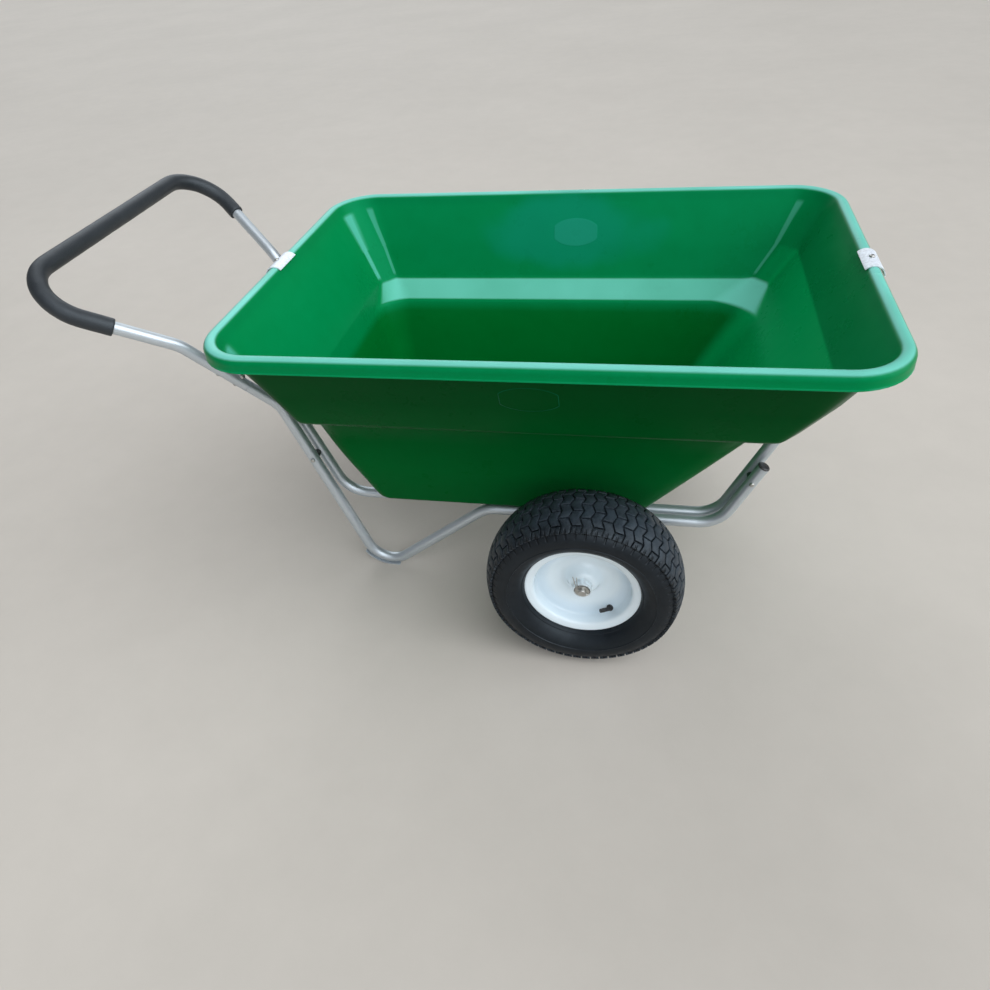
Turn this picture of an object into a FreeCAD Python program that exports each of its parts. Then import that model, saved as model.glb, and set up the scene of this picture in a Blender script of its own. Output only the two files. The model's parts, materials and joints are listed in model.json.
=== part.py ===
import FreeCAD, Part
import Sketcher
import math
import os

from FreeCAD import Placement, Rotation, Vector

# Two-wheeled garden cart.  Every piece is drawn about the point on the ground
# under the axle: X runs to the front of the tub, Y to the cart's left, Z up.
# The pieces are then moved forward by axle_x, so the origin lies on the ground
# half way along the cart.

doc = FreeCAD.newDocument("garden_cart")

SIZES = [
    ("axle_x", 274.6, "axle ahead of the middle of the cart"),
    ("seat_gap", 0.3, "clearance between pieces that rest on each other"),
    # tub
    ("tub_wall", 4.0, "thickness of the moulded tub"),
    ("rim_front", 506.25, "outer edge of the rim in front of the axle"),
    ("rim_rear", 693.2, "outer edge of the rim behind the axle"),
    ("rim_half_width", 414.8, "outer edge of the rim beside the middle plane"),
    ("rim_corner", 110.0, "plan radius of the rim's outer corners"),
    ("rim_top", 733.3, "top of the rim"),
    ("rim_lip", 27.6, "height of the rim's outer lip"),
    ("bead_radius", 13.75, "radius of the rolled rim"),
    ("bead_wall", 3.4, "thickness of the rolled rim"),
    ("crease_level", 619.0, "level of the kink in the upper walls"),
    ("ledge_outer_level", 547.0, "outer edge of the ledge"),
    ("ledge_inner_level", 510.0, "inner edge of the ledge"),
    ("waist_level", 400.0, "level half way down the lower walls"),
    ("floor_level", 216.0, "underside of the tub floor"),
    ("ledge_drop", 3.0, "how far the ledge's underside lies below its top"),
    ("crease_rear", 616.0, "kink in the upper walls behind the axle"),
    ("crease_front", 421.0, "kink in the upper walls ahead of the axle"),
    ("crease_half_width", 351.0, "kink in the upper walls beside the middle plane"),
    ("crease_rear_corner", 68.0, "kink in the upper walls: plan radius of the rear corners"),
    ("crease_front_corner", 72.0, "kink in the upper walls: plan radius of the front corners"),
    ("ledge_outer_rear", 584.0, "ledge's outer edge behind the axle"),
    ("ledge_outer_front", 368.0, "ledge's outer edge ahead of the axle"),
    ("ledge_outer_half_width", 328.0, "ledge's outer edge beside the middle plane"),
    ("ledge_outer_rear_corner", 55.0, "ledge's outer edge: plan radius of the rear corners"),
    ("ledge_outer_front_corner", 60.0, "ledge's outer edge: plan radius of the front corners"),
    ("ledge_inner_rear", 578.0, "ledge's inner edge behind the axle"),
    ("ledge_inner_front", 340.0, "ledge's inner edge ahead of the axle"),
    ("ledge_inner_half_width", 276.0, "ledge's inner edge beside the middle plane"),
    ("ledge_inner_rear_corner", 74.0, "ledge's inner edge: plan radius of the rear corners"),
    ("ledge_inner_front_corner", 104.0, "ledge's inner edge: plan radius of the front corners"),
    ("waist_rear", 551.5, "lower walls half way down behind the axle"),
    ("waist_front", 259.0, "lower walls half way down ahead of the axle"),
    ("waist_half_width", 239.0, "lower walls half way down beside the middle plane"),
    ("waist_rear_corner", 53.0, "lower walls half way down: plan radius of the rear corners"),
    ("waist_front_corner", 90.0, "lower walls half way down: plan radius of the front corners"),
    ("floor_rear", 508.0, "floor of the tub behind the axle"),
    ("floor_front", 126.0, "floor of the tub ahead of the axle"),
    ("floor_half_width", 173.0, "floor of the tub beside the middle plane"),
    ("floor_rear_corner", 40.0, "floor of the tub: plan radius of the rear corners"),
    ("floor_front_corner", 66.0, "floor of the tub: plan radius of the front corners"),
    ("floor_edge_fillet", 34.0, "radius of the floor's outer edge"),
    ("ledge_fillet", 7.0, "radius of the ledge's edges"),
    # frame tubes
    ("tube_radius", 12.5, "outer radius of all frame tubes"),
    ("tube_wall", 1.5, "wall of all frame tubes"),
    ("leg_y", 165.0, "outer tubes beside the middle plane"),
    ("cradle_y", 132.3, "inner tubes beside the middle plane"),
    ("run_level", 203.2, "level of the tubes under the tub, and of the axle"),
    ("foot_x", 506.0, "centre of the foot bend behind the axle"),
    ("foot_bend", 60.0, "centreline radius of the foot bend"),
    ("hoop_slant", 72.0, "slope of the rear hoop behind the tub"),
    ("rise_slope", 38.0, "slope of the legs from foot to run"),
    ("run_bend", 70.0, "centreline radius of the bends in the runs"),
    ("stub_corner_x", 274.0, "corner of the outer tube at the front"),
    ("front_corner_x", 270.5, "lower corner of the front hoop"),
    ("stub_slant", 65.8, "slope of the front stub"),
    ("stub_level", 364.0, "end of the front stub"),
    ("knee_bend", 80.0, "centreline radius of the knee"),
    ("joint_x", 734.5, "joint between leg and handle, behind the axle"),
    ("joint_y", 187.4, "joint beside the middle plane"),
    ("joint_level", 534.5, "level of the joint"),
    ("joint_gap", 1.5, "groove left between leg and handle"),
    ("spigot_length", 80.0, "swaged end of a tube inside the next"),
    ("spigot_fit", 0.2, "radial clearance of the swaged ends"),
    ("front_cross_x", 491.5, "front cross tube under the rim"),
    ("rear_cross_x", 670.0, "rear cross tube under the rim"),
    ("cross_level", 692.8, "centreline of the cross tubes"),
    ("hoop_bend", 60.0, "centreline radius of the hoops' upper corners"),
    ("rear_corner_x", 596.0, "lower rear corner of the rear hoop"),
    ("rear_kink_level", 430.0, "where the rear hoop turns upright"),
    ("hoop_joint_x", 40.0, "joint of the two hoops under the tub"),
    # handle
    ("handle_bend_x", 826.1, "bend of the handle behind the axle"),
    ("handle_bend_y", 231.0, "bend of the handle beside the middle plane"),
    ("handle_bend_level", 653.6, "level of the bend of the handle"),
    ("bar_x", 1046.5, "push bar behind the axle"),
    ("bar_y", 363.3, "corner of the push bar beside the middle plane"),
    ("bar_level", 823.2, "level of the push bar"),
    ("bar_bend", 84.0, "centreline radius of the push bar's corners"),
    ("grip_radius", 17.7, "outer radius of the foam"),
    ("grip_bare_left", 0.456, "share of the upper handle leg that stays bare on the left"),
    ("grip_bare_right", 0.39, "share of the upper handle leg that stays bare on the right"),
    # feet, caps, clips
    ("skid_thickness", 3.0, "thickness of the skid plates"),
    ("skid_width", 24.0, "width of the skid plates"),
    ("skid_flat", 34.0, "length of a skid plate's flat"),
    ("clip_radius", 20.0, "inner radius of the rim clips"),
    ("clip_thickness", 2.0, "thickness of the rim clips"),
    ("clip_width", 80.0, "width of the rim clips"),
    # fasteners
    ("bolt_radius", 3.0, "shank of the M6 bolts"),
    ("bolt_clearance", 0.3, "radial clearance of the bolt holes"),
    ("head_radius", 5.25, "radius of the domed M6 heads"),
    ("head_height", 3.6, "height of the domed M6 heads"),
    ("head_edge", 3.0, "rounding of the domed M6 heads"),
    ("hex_flats", 10.0, "width across flats of M6 nuts"),
    ("nut_height", 5.0, "height of M6 nuts"),
    ("low_nut_height", 2.5, "height of the low nuts on the paired tubes"),
    ("joint_bolt_turn", 15.0, "how far the joint bolts lean inwards about the tube"),
    ("spacer_radius", 8.0, "spacers between the paired tubes"),
    # axle
    ("axle_radius", 8.0, "radius of the axle"),
    ("axle_end", 404.0, "end of the axle beside the middle plane"),
    ("washer_thickness", 3.0, "thickness of the axle washers"),
    ("washer_radius", 15.0, "radius of the axle washers"),
    ("sleeve_radius", 11.0, "spacer tubes on the axle"),
    ("pin_y", 399.6, "split pins beside the middle plane"),
    # wheels
    ("wheel_radius", 203.2, "radius of the wheels"),
    ("wheel_y", 359.0, "middle of a wheel beside the middle plane"),
    ("tyre_half_width", 70.7, "half the width of a tyre"),
    ("crown_half_width", 60.0, "half the width of the tread"),
    ("crown_drop", 15.0, "drop of the tread at its edge"),
    ("tread_depth", 5.0, "depth of the tread grooves"),
    ("flange_radius", 116.8, "radius of the rim flanges"),
    ("flange_half_width", 41.0, "outer face of a rim flange"),
    ("bead_seat", 101.6, "radius of the rim's bead seats"),
    ("rim_wall", 2.5, "thickness of the rim"),
    ("hub_radius", 18.75, "outer radius of the hub tube"),
    ("hub_wall", 2.2, "wall of the hub tube"),
    ("hub_half_length", 37.0, "half the length of the hub tube"),
    ("bearing_length", 12.0, "length of a bearing"),
    ("bearing_recess", 2.0, "bearing face inside the hub's mouth"),
    ("running_clearance", 0.05, "radial clearance of the bearings on the axle"),
]

sheet = doc.addObject("Spreadsheet::Sheet", "Sizes")
for row, (name, number, note) in enumerate(SIZES, 1):
    sheet.set("A%d" % row, name)
    sheet.set("B%d" % row, repr(number))
    sheet.set("C%d" % row, note)
    sheet.setAlias("B%d" % row, name)
doc.recompute()


class Size:
    """A length or angle that knows its number and its sheet expression."""

    def __init__(self, number, text):
        self.number = number
        self.text = text

    def __float__(self):
        return self.number

    def __neg__(self):
        return Size(-self.number, "-(%s)" % self.text)

    def __add__(self, other):
        other = as_size(other)
        return Size(self.number + other.number, "(%s + %s)" % (self.text, other.text))

    def __sub__(self, other):
        other = as_size(other)
        return Size(self.number - other.number, "(%s - %s)" % (self.text, other.text))

    def __mul__(self, other):
        other = as_size(other)
        return Size(self.number * other.number, "(%s * %s)" % (self.text, other.text))

    def __truediv__(self, other):
        other = as_size(other)
        return Size(self.number / other.number, "(%s / %s)" % (self.text, other.text))

    __radd__ = __add__
    __rmul__ = __mul__

    def __rsub__(self, other):
        return as_size(other) - self


def as_size(value):
    if isinstance(value, Size):
        return value
    return Size(float(value), repr(float(value)))


def cell(name):
    return Size(float(sheet.get(name)), "Sizes.%s" % name)


def mm(name):
    return float(sheet.get(name))


def bind(feature, **sizes):
    """Tie a feature's properties to the sheet."""
    for name, value in sizes.items():
        value = as_size(value)
        setattr(feature, name, value.number)
        if "Sizes." in value.text:
            feature.setExpression(name, value.text)


# ---------------------------------------------------------------- sketches

def new_body(label):
    body = doc.addObject("PartDesign::Body", label)
    body.Label = label
    return body


def origin_plane(body, role):
    for feature in body.Origin.OriginFeatures:
        if feature.Role == role:
            return feature


def new_sketch(body, role, name, height=None):
    sketch = body.newObject("Sketcher::SketchObject", name)
    sketch.AttachmentSupport = [(origin_plane(body, role), "")]
    sketch.MapMode = "FlatFace"
    if height is not None:
        height = as_size(height)
        sketch.AttachmentOffset = Placement(Vector(0, 0, height.number), Rotation())
        sketch.setExpression("AttachmentOffset.Base.z", height.text)
    return sketch


def dimension(sketch, kind, where, value):
    value = as_size(value)
    if abs(value.number) < 1e-9 and kind in ("DistanceX", "DistanceY"):
        axis = -2 if kind == "DistanceX" else -1
        sketch.addConstraint(Sketcher.Constraint("PointOnObject", where[-2], where[-1], axis))
        return
    index = sketch.addConstraint(Sketcher.Constraint(kind, *where, value.number))
    if "Sizes." in value.text:
        sketch.setExpression("Constraints[%d]" % index, value.text)


def arc_between(start, end, radius, left):
    """Arc of the given radius; its centre lies left of the chord if left is true."""
    chord = end - start
    middle = (start + end) * 0.5
    away = math.sqrt(max(radius * radius - chord.Length ** 2 / 4, 0.0))
    side = Vector(-chord.y, chord.x, 0).normalize() * (1 if left else -1)
    centre = middle + side * away
    first = math.atan2(start.y - centre.y, start.x - centre.x)
    last = math.atan2(end.y - centre.y, end.x - centre.x)
    circle = Part.Circle(centre, Vector(0, 0, 1), radius)
    if left:
        return Part.ArcOfCircle(circle, first, last), 1, 2
    return Part.ArcOfCircle(circle, last, first), 2, 1


def outline(sketch, corners):
    """Closed outline through corners (x, y) or (x, y, arc radius, centre on the left),
    where the arc is the edge that leaves that corner."""
    points = [Vector(float(c[0]), float(c[1]), 0) for c in corners]
    ends = []
    for index, corner in enumerate(corners):
        start = points[index]
        end = points[(index + 1) % len(points)]
        if len(corner) == 2:
            geo = sketch.addGeometry(Part.LineSegment(start, end), False)
            ends.append((geo, 1, 2))
        else:
            arc, first, last = arc_between(start, end, float(corner[2]), corner[3])
            geo = sketch.addGeometry(arc, False)
            ends.append((geo, first, last))
    for (geo, first, last), (after, begin, _) in zip(ends, ends[1:] + ends[:1]):
        sketch.addConstraint(Sketcher.Constraint("Coincident", geo, last, after, begin))
    for corner, (geo, first, last) in zip(corners, ends):
        for kind, value in (("DistanceX", corner[0]), ("DistanceY", corner[1])):
            dimension(sketch, kind, (-1, 1, geo, first), value)
        if len(corner) > 2:
            dimension(sketch, "Radius", (geo,), corner[2])
    return sketch


def rounded_rectangle(sketch, rear, front, half_width, rear_corner, front_corner):
    """Rounded rectangle from x = -rear to x = front, starting half way up its front."""
    x0, x1, w = -float(rear), float(front), float(half_width)
    r0, r1 = float(rear_corner), float(front_corner)
    z = Vector(0, 0, 1)
    quarter = math.pi / 2

    def corner_arc(x, y, radius, start):
        circle = Part.Circle(Vector(x, y, 0), z, radius)
        return Part.ArcOfCircle(circle, start, start + quarter)

    def side(ax, ay, bx, by):
        return Part.LineSegment(Vector(ax, ay, 0), Vector(bx, by, 0))

    pieces = [
        side(x1, 0, x1, w - r1),
        corner_arc(x1 - r1, w - r1, r1, 0),
        side(x1 - r1, w, x0 + r0, w),
        corner_arc(x0 + r0, w - r0, r0, quarter),
        side(x0, w - r0, x0, -w + r0),
        corner_arc(x0 + r0, -w + r0, r0, 2 * quarter),
        side(x0 + r0, -w, x1 - r1, -w),
        corner_arc(x1 - r1, -w + r1, r1, 3 * quarter),
        side(x1, -w + r1, x1, 0),
    ]
    for piece in pieces:
        sketch.addGeometry(piece, False)
    for index in range(8):
        sketch.addConstraint(Sketcher.Constraint("Tangent", index, 2, index + 1, 1))
    sketch.addConstraint(Sketcher.Constraint("Coincident", 8, 2, 0, 1))
    sketch.addConstraint(Sketcher.Constraint("PointOnObject", 0, 1, -1))
    for index in (0, 4, 8):
        sketch.addConstraint(Sketcher.Constraint("Vertical", index))
    for index in (2, 6):
        sketch.addConstraint(Sketcher.Constraint("Horizontal", index))
    dimension(sketch, "DistanceX", (-1, 1, 0, 1), front)
    dimension(sketch, "DistanceX", (-1, 1, 4, 1), -as_size(rear))
    dimension(sketch, "DistanceY", (-1, 1, 2, 1), half_width)
    dimension(sketch, "DistanceY", (-1, 1, 6, 1), -as_size(half_width))
    dimension(sketch, "Radius", (1,), front_corner)
    dimension(sketch, "Radius", (3,), rear_corner)
    sketch.addConstraint(Sketcher.Constraint("Equal", 1, 7))
    sketch.addConstraint(Sketcher.Constraint("Equal", 3, 5))
    return sketch


def circle(sketch, radius, x=0.0, y=0.0):
    geo = sketch.addGeometry(
        Part.Circle(Vector(float(x), float(y), 0), Vector(0, 0, 1), float(radius)), False)
    dimension(sketch, "Radius", (geo,), radius)
    dimension(sketch, "DistanceX", (-1, 1, geo, 3), x)
    dimension(sketch, "DistanceY", (-1, 1, geo, 3), y)
    return sketch


def revolve(body, sketch, name):
    turn = body.newObject("PartDesign::Revolution", name)
    turn.Profile = sketch
    turn.ReferenceAxis = (sketch, ["H_Axis"])
    turn.Angle = 360.0
    return turn


def pad(body, sketch, name, length, symmetric=False):
    feature = body.newObject("PartDesign::Pad", name)
    feature.Profile = sketch
    bind(feature, Length=length)
    if symmetric:
        feature.SideType = "Symmetric"
    return feature


def turned(direction):
    """Rotation that takes +Z to a direction."""
    return Rotation(Vector(0, 0, 1), direction)


def drill(body, name, start, direction, radius, length):
    """Round hole through a body from a point along a direction."""
    hole = body.newObject("PartDesign::SubtractiveCylinder", name)
    bind(hole, Radius=radius, Height=length)
    hole.Placement = Placement(start, turned(direction))
    return hole


# ---------------------------------------------------------------- output

nodes = []


def finish(feature, label, place=None):
    """Put a piece in its place on the cart and list it for output."""
    feature.Label = label
    shift = Placement(Vector(mm("axle_x"), 0, 0), Rotation())
    feature.Placement = shift * place if place is not None else shift
    nodes.append((label, feature))


def solid_feature(label, shape, place=None):
    feature = doc.addObject("Part::Feature", label)
    feature.Shape = shape
    finish(feature, label, place)
    return feature


def clip_frame(front):
    """Centre of a rim clip's bend and the way its bolt points out of it."""
    side = 1 if front else -1
    edge = mm("rim_front") if front else -mm("rim_rear")
    cross_x = mm("front_cross_x") if front else -mm("rear_cross_x")
    centre = Vector(edge - side * (mm("bead_radius") - 0.5), 0,
                    mm("rim_top") + mm("seat_gap") - mm("clip_radius"))
    tube = Vector(cross_x, 0, mm("cross_level"))
    return {"centre": centre, "tube": tube, "outward": (centre - tube).normalize(), "side": side}


def mirrored(point):
    return Vector(point.x, -point.y, point.z)


# ---------------------------------------------------------------- tub

def between(first, second, share):
    """A section part of the way from one section to the next."""
    return tuple(as_size(a) + (as_size(b) - a) * share for a, b in zip(first, second))


def level_edges(shape, level):
    """Names of the edges that lie in a horizontal plane."""
    names = []
    for index, edge in enumerate(shape.Edges, 1):
        box = edge.BoundBox
        if abs(box.ZMin - level) < 0.01 and abs(box.ZMax - level) < 0.01:
            names.append("Edge%d" % index)
    return names


def section(name, raised=0.0):
    """Level, rear, front, half width, rear corner and front corner of one level of the tub."""
    sides = ("rear", "front", "half_width", "rear_corner", "front_corner")
    return (cell(name + "_level") + raised,) + tuple(cell(name + "_" + side) for side in sides)


def tub():
    body = new_body("tub")
    wall = cell("tub_wall")
    # level, rear, front, half width, rear corner, front corner of the inner surface
    bead = cell("bead_radius")
    lean = bead * 0.96
    top = (cell("rim_top") - bead * 0.7,
           cell("rim_rear") - bead - lean, cell("rim_front") - bead - lean,
           cell("rim_half_width") - bead - lean, cell("rim_corner") - bead - lean,
           cell("rim_corner") - bead - lean)
    crease = section("crease")
    ledge_outer = section("ledge_outer")
    ledge_inner = section("ledge_inner")
    waist = section("waist")
    floor = section("floor", wall)
    # every fold is eased by a narrow facet between two sections near it
    sections = (
        floor,
        waist,
        between(ledge_inner, waist, 0.07),
        between(ledge_inner, ledge_outer, 0.12),
        between(ledge_outer, ledge_inner, 0.12),
        between(ledge_outer, crease, 0.11),
        between(crease, ledge_outer, 0.12),
        between(crease, top, 0.08),
        top,
    )

    def drawn(name, grow, drops):
        sketches = []
        for index, (section, drop) in enumerate(zip(sections, drops)):
            level, rear, front, half, rear_corner, front_corner = section
            sketch = new_sketch(body, "XY_Plane", "%s_%d" % (name, index), level - drop)
            rounded_rectangle(sketch, rear + grow, front + grow, half + grow,
                              rear_corner + grow, front_corner + grow)
            sketches.append(sketch)
        return sketches

    drop = cell("ledge_drop")
    flat = as_size(0.0)
    outer = drawn("outer_section", wall, (wall, flat) + (drop,) * 4 + (flat,) * 3)
    shell = body.newObject("PartDesign::AdditiveLoft", "outer_shell")
    shell.Profile = outer[0]
    shell.Sections = outer[1:]
    shell.Ruled = True

    # rolled rim: a round bead with a straight outer lip, open underneath
    spine = new_sketch(body, "XY_Plane", "rim_path", cell("rim_top") - bead)
    rounded_rectangle(spine, cell("rim_rear") - bead, cell("rim_front") - bead,
                      cell("rim_half_width") - bead, cell("rim_corner") - bead,
                      cell("rim_corner") - bead)
    lip = new_sketch(body, "XZ_Plane", "rim_profile")
    centre = cell("rim_top") - bead
    inner_radius = bead - cell("bead_wall")
    middle = cell("rim_front") - bead
    lip_foot = cell("rim_top") - cell("rim_lip")
    outline(lip, [
        (middle - bead, centre, bead, False),
        (middle, centre + bead, bead, False),
        (middle + bead, centre),
        (middle + bead, lip_foot),
        (middle + inner_radius, lip_foot),
        (middle + inner_radius, centre, inner_radius, True),
        (middle, centre + inner_radius, inner_radius, True),
        (middle - inner_radius, centre),
    ])
    rim = body.newObject("PartDesign::AdditivePipe", "rolled_rim")
    rim.Profile = lip
    rim.Spine = spine
    rim.Transition = "Round corner"

    inner = drawn("inner_section", 0.0, (flat,) * len(sections))
    hollow = body.newObject("PartDesign::SubtractiveLoft", "hollow")
    hollow.Profile = inner[0]
    hollow.Sections = inner[1:]
    hollow.Ruled = True
    doc.recompute()

    underside = body.newObject("PartDesign::Fillet", "floor_edge_outside")
    underside.Base = (hollow, level_edges(hollow.Shape, mm("floor_level")))
    bind(underside, Radius=cell("floor_edge_fillet"))
    doc.recompute()
    inside = body.newObject("PartDesign::Fillet", "floor_edge_inside")
    inside.Base = (underside, level_edges(underside.Shape, mm("floor_level") + mm("tub_wall")))
    bind(inside, Radius=cell("floor_edge_fillet") - wall)
    doc.recompute()
    for name, clip in (("front_bolt_hole", clip_frame(True)), ("rear_bolt_hole", clip_frame(False))):
        drill(body, name, clip["centre"], clip["outward"], cell("bolt_radius") + cell("bolt_clearance"),
              mm("clip_radius") * 2)
    finish(body, "tub")


# ---------------------------------------------------------------- bent tubes

def ring_face(point, heading, outer, inner):
    rings = [Part.Wire(Part.makeCircle(outer, point, heading))]
    if inner > 0:
        rings.append(Part.Wire(Part.makeCircle(inner, point, heading)))
    return Part.Face(rings, "Part::FaceMakerBullseye")


def bent_tube(corners, bends, outer, inner):
    """Tube through the corners of its centreline, with a bend radius at each inner one."""
    pieces = []
    start = corners[0]
    for before, corner, after, radius in zip(corners, corners[1:], corners[2:], bends):
        back = (before - corner).normalize()
        ahead = (after - corner).normalize()
        half = back.getAngle(ahead) / 2
        reach = radius / math.tan(half)
        middle = (back + ahead).normalize()
        centre = corner + middle * (radius / math.sin(half))
        first = corner + back * reach
        axis = (back * -1).cross(ahead)
        pieces.append(ring_face(start, first - start, outer, inner).extrude(first - start))
        bend = ring_face(first, back * -1, outer, inner)
        pieces.append(bend.revolve(centre, axis, 180 - 2 * math.degrees(half)))
        start = corner + ahead * reach
    last = corners[-1] - start
    pieces.append(ring_face(start, last, outer, inner).extrude(last))
    return pieces[0].multiFuse(pieces[1:]).removeSplitter()


def frame_tube(corners, bends):
    return bent_tube(corners, bends, mm("tube_radius"), mm("tube_radius") - mm("tube_wall"))


def rod(start, end, radius):
    return Part.makeCylinder(radius, (end - start).Length, start, end - start)


def swaged_end(start, end):
    """Reduced end of a tube, which slides into the next tube."""
    outer = mm("tube_radius") - mm("tube_wall") - mm("spigot_fit")
    inner = outer - mm("tube_wall")
    shoulder = (end - start).normalize() * -6.0
    neck = rod(start + shoulder, start, mm("tube_radius") - mm("tube_wall") / 2)
    return rod(start, end, outer).fuse(neck).cut(rod(start + shoulder, end, inner))


def bolt_hole(shape, point, direction, length=60.0):
    """Clearance hole for a bolt, centred on a point."""
    radius = mm("bolt_radius") + mm("bolt_clearance")
    half = Vector(direction).normalize() * (length / 2)
    return shape.cut(rod(point - half, point + half, radius))


def axle_hole(shape, y):
    reach = Vector(0, 20, 0)
    point = Vector(0, y, mm("run_level"))
    return shape.cut(rod(point - reach, point + reach, mm("axle_radius") + 0.15))


def slope(degrees):
    angle = math.radians(degrees)
    return Vector(math.cos(angle), 0, math.sin(angle))


def meet_level(point, direction, level):
    return point + direction * ((level - point.z) / direction.z)


def on_side(point, side):
    return Vector(point.x, point.y * side, point.z)


def foot_centre():
    return Vector(-mm("foot_x"), mm("leg_y"), mm("skid_thickness") + mm("seat_gap")
                  + mm("tube_radius") + mm("foot_bend"))


def leg_points():
    """Corners of the left outer tube's centreline, from the handle joint to the front stub."""
    joint, bend = handle_points()[:2]
    along = (joint - bend).normalize()
    knee = joint + along * ((mm("leg_y") - joint.y) / along.y)
    # the leg runs from the knee to the foot bend as a tangent
    centre = foot_centre()
    to_centre = centre - knee
    angle = math.atan2(to_centre.z, to_centre.x) - math.asin(mm("foot_bend") / to_centre.Length)
    down = slope(math.degrees(angle))
    rise = slope(mm("rise_slope"))
    half = (down * -1).getAngle(rise) / 2
    bisector = (rise - down).normalize()
    foot = centre - bisector * (mm("foot_bend") / math.sin(half))
    stub_corner = Vector(mm("stub_corner_x"), mm("leg_y"), mm("run_level"))
    return [
        joint,
        knee,
        foot,
        meet_level(foot, rise, mm("run_level")),
        stub_corner,
        meet_level(stub_corner, slope(mm("stub_slant")), mm("stub_level")),
    ]


def handle_points():
    """Corners of the left half of the handle's centreline, from the joint to the bar."""
    return [
        Vector(-mm("joint_x"), mm("joint_y"), mm("joint_level")),
        Vector(-mm("handle_bend_x"), mm("handle_bend_y"), mm("handle_bend_level")),
        Vector(-mm("bar_x"), mm("bar_y"), mm("bar_level")),
    ]


def front_hoop_points():
    corner = Vector(mm("front_corner_x"), mm("cradle_y"), mm("run_level"))
    return [
        Vector(mm("hoop_joint_x"), mm("cradle_y"), mm("run_level")),
        corner,
        Vector(mm("front_cross_x"), mm("cradle_y"), mm("cross_level")),
    ]


def rear_hoop_points():
    corner = Vector(-mm("rear_corner_x"), mm("cradle_y"), mm("run_level"))
    kink = meet_level(corner, slope(180 - mm("hoop_slant")), mm("rear_kink_level"))
    kink.x = max(kink.x, -mm("rear_cross_x"))
    return [
        Vector(mm("hoop_joint_x") - mm("seat_gap"), mm("cradle_y"), mm("run_level")),
        corner,
        kink,
        Vector(-mm("rear_cross_x"), mm("cradle_y"), mm("cross_level")),
    ]


def straights(front):
    """The straight pieces of hoop and leg that stand side by side on the left: ends of each."""
    legs = leg_points()
    if front:
        hoop_corners = front_hoop_points()
        return (hoop_corners[1], hoop_corners[2]), (legs[4], legs[5])
    hoop_corners = rear_hoop_points()
    return (hoop_corners[1], hoop_corners[2]), (legs[2], legs[1])


def pair_bolts(side):
    """Points on the hoop's side and the leg's side of the two bolts that join a tube pair."""
    pairs = []
    for front, level in ((False, 330.0), (True, 326.5)):
        hoop_line, leg_line = straights(front)
        a, b = [meet_level(foot, (head - foot).normalize(), level) for foot, head in
                (hoop_line, leg_line)]
        # the bolt runs square across, midway between the centrelines
        a.x = b.x = (a.x + b.x) / 2
        pairs.append((on_side(a, side), on_side(b, side)))
    return pairs


def joint_bolts(side):
    """Middle points and directions of the two bolts through a handle joint."""
    joint, bend = [on_side(point, side) for point in handle_points()[:2]]
    along = (bend - joint).normalize()
    down = Vector(0, 0, -1)
    under = (down - along * down.dot(along)).normalize()
    head = Rotation(along, mm("joint_bolt_turn") * side).multVec(under)
    return [(joint + along * reach, head) for reach in (22.0, 62.0)]


def leg_tube(label, side):
    points = [on_side(point, side) for point in leg_points()]
    bends = [mm("knee_bend"), mm("foot_bend"), mm("run_bend"), mm("run_bend")]
    shape = frame_tube(points, bends)
    along = (points[0] - points[1]).normalize()
    shape = shape.fuse(swaged_end(points[0], points[0] + along * mm("spigot_length")))
    shape = axle_hole(shape, mm("leg_y") * side)
    for inner, outer in pair_bolts(side):
        shape = bolt_hole(shape, outer, outer - inner, 40.0)
    for point, head in joint_bolts(side):
        shape = bolt_hole(shape, point, head)
    solid_feature(label, shape)


def hoop(label, left, bends, spigots):
    right = [mirrored(point) for point in reversed(left)]
    shape = frame_tube(left + right, bends + [mm("hoop_bend")] * 2 + bends[::-1])
    if spigots:
        reach = Vector(mm("spigot_length"), 0, 0)
        for end in (left[0], right[-1]):
            shape = shape.fuse(swaged_end(end, end + reach))
        for side in (1, -1):
            shape = axle_hole(shape, mm("cradle_y") * side)
    return shape


def front_hoop():
    shape = hoop("front_frame_hoop", front_hoop_points(), [mm("run_bend")], False)
    for side in (1, -1):
        inner, outer = pair_bolts(side)[1]
        shape = bolt_hole(shape, inner, outer - inner, 40.0)
    frame = clip_frame(True)
    shape = bolt_hole(shape, frame["tube"], frame["outward"])
    solid_feature("front_frame_hoop", shape)


def rear_hoop():
    shape = hoop("rear_frame_hoop", rear_hoop_points(), [mm("run_bend"), mm("run_bend") * 2], True)
    for side in (1, -1):
        inner, outer = pair_bolts(side)[0]
        shape = bolt_hole(shape, inner, outer - inner, 40.0)
    frame = clip_frame(False)
    shape = bolt_hole(shape, frame["tube"], frame["outward"])
    solid_feature("rear_frame_hoop", shape)


def handle_tube():
    left = handle_points()
    along = (left[1] - left[0]).normalize()
    left[0] = left[0] + along * mm("joint_gap")
    right = [mirrored(point) for point in reversed(left)]
    shape = frame_tube(left + right, [90.0, mm("bar_bend"), mm("bar_bend"), 90.0])
    for side in (1, -1):
        for point, head in joint_bolts(side):
            shape = bolt_hole(shape, point, head)
    solid_feature("handle_tube", shape)


def foam_grip():
    _, bend, corner = handle_points()
    leg = corner - bend
    left = bend + leg * mm("grip_bare_left")
    right = mirrored(bend + leg * mm("grip_bare_right"))
    path = [left, corner, mirrored(corner), right]
    shape = bent_tube(path, [mm("bar_bend")] * 2, mm("grip_radius"), mm("tube_radius") + 0.2)
    solid_feature("foam_grip", shape)


# ---------------------------------------------------------------- feet, caps and clips

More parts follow.
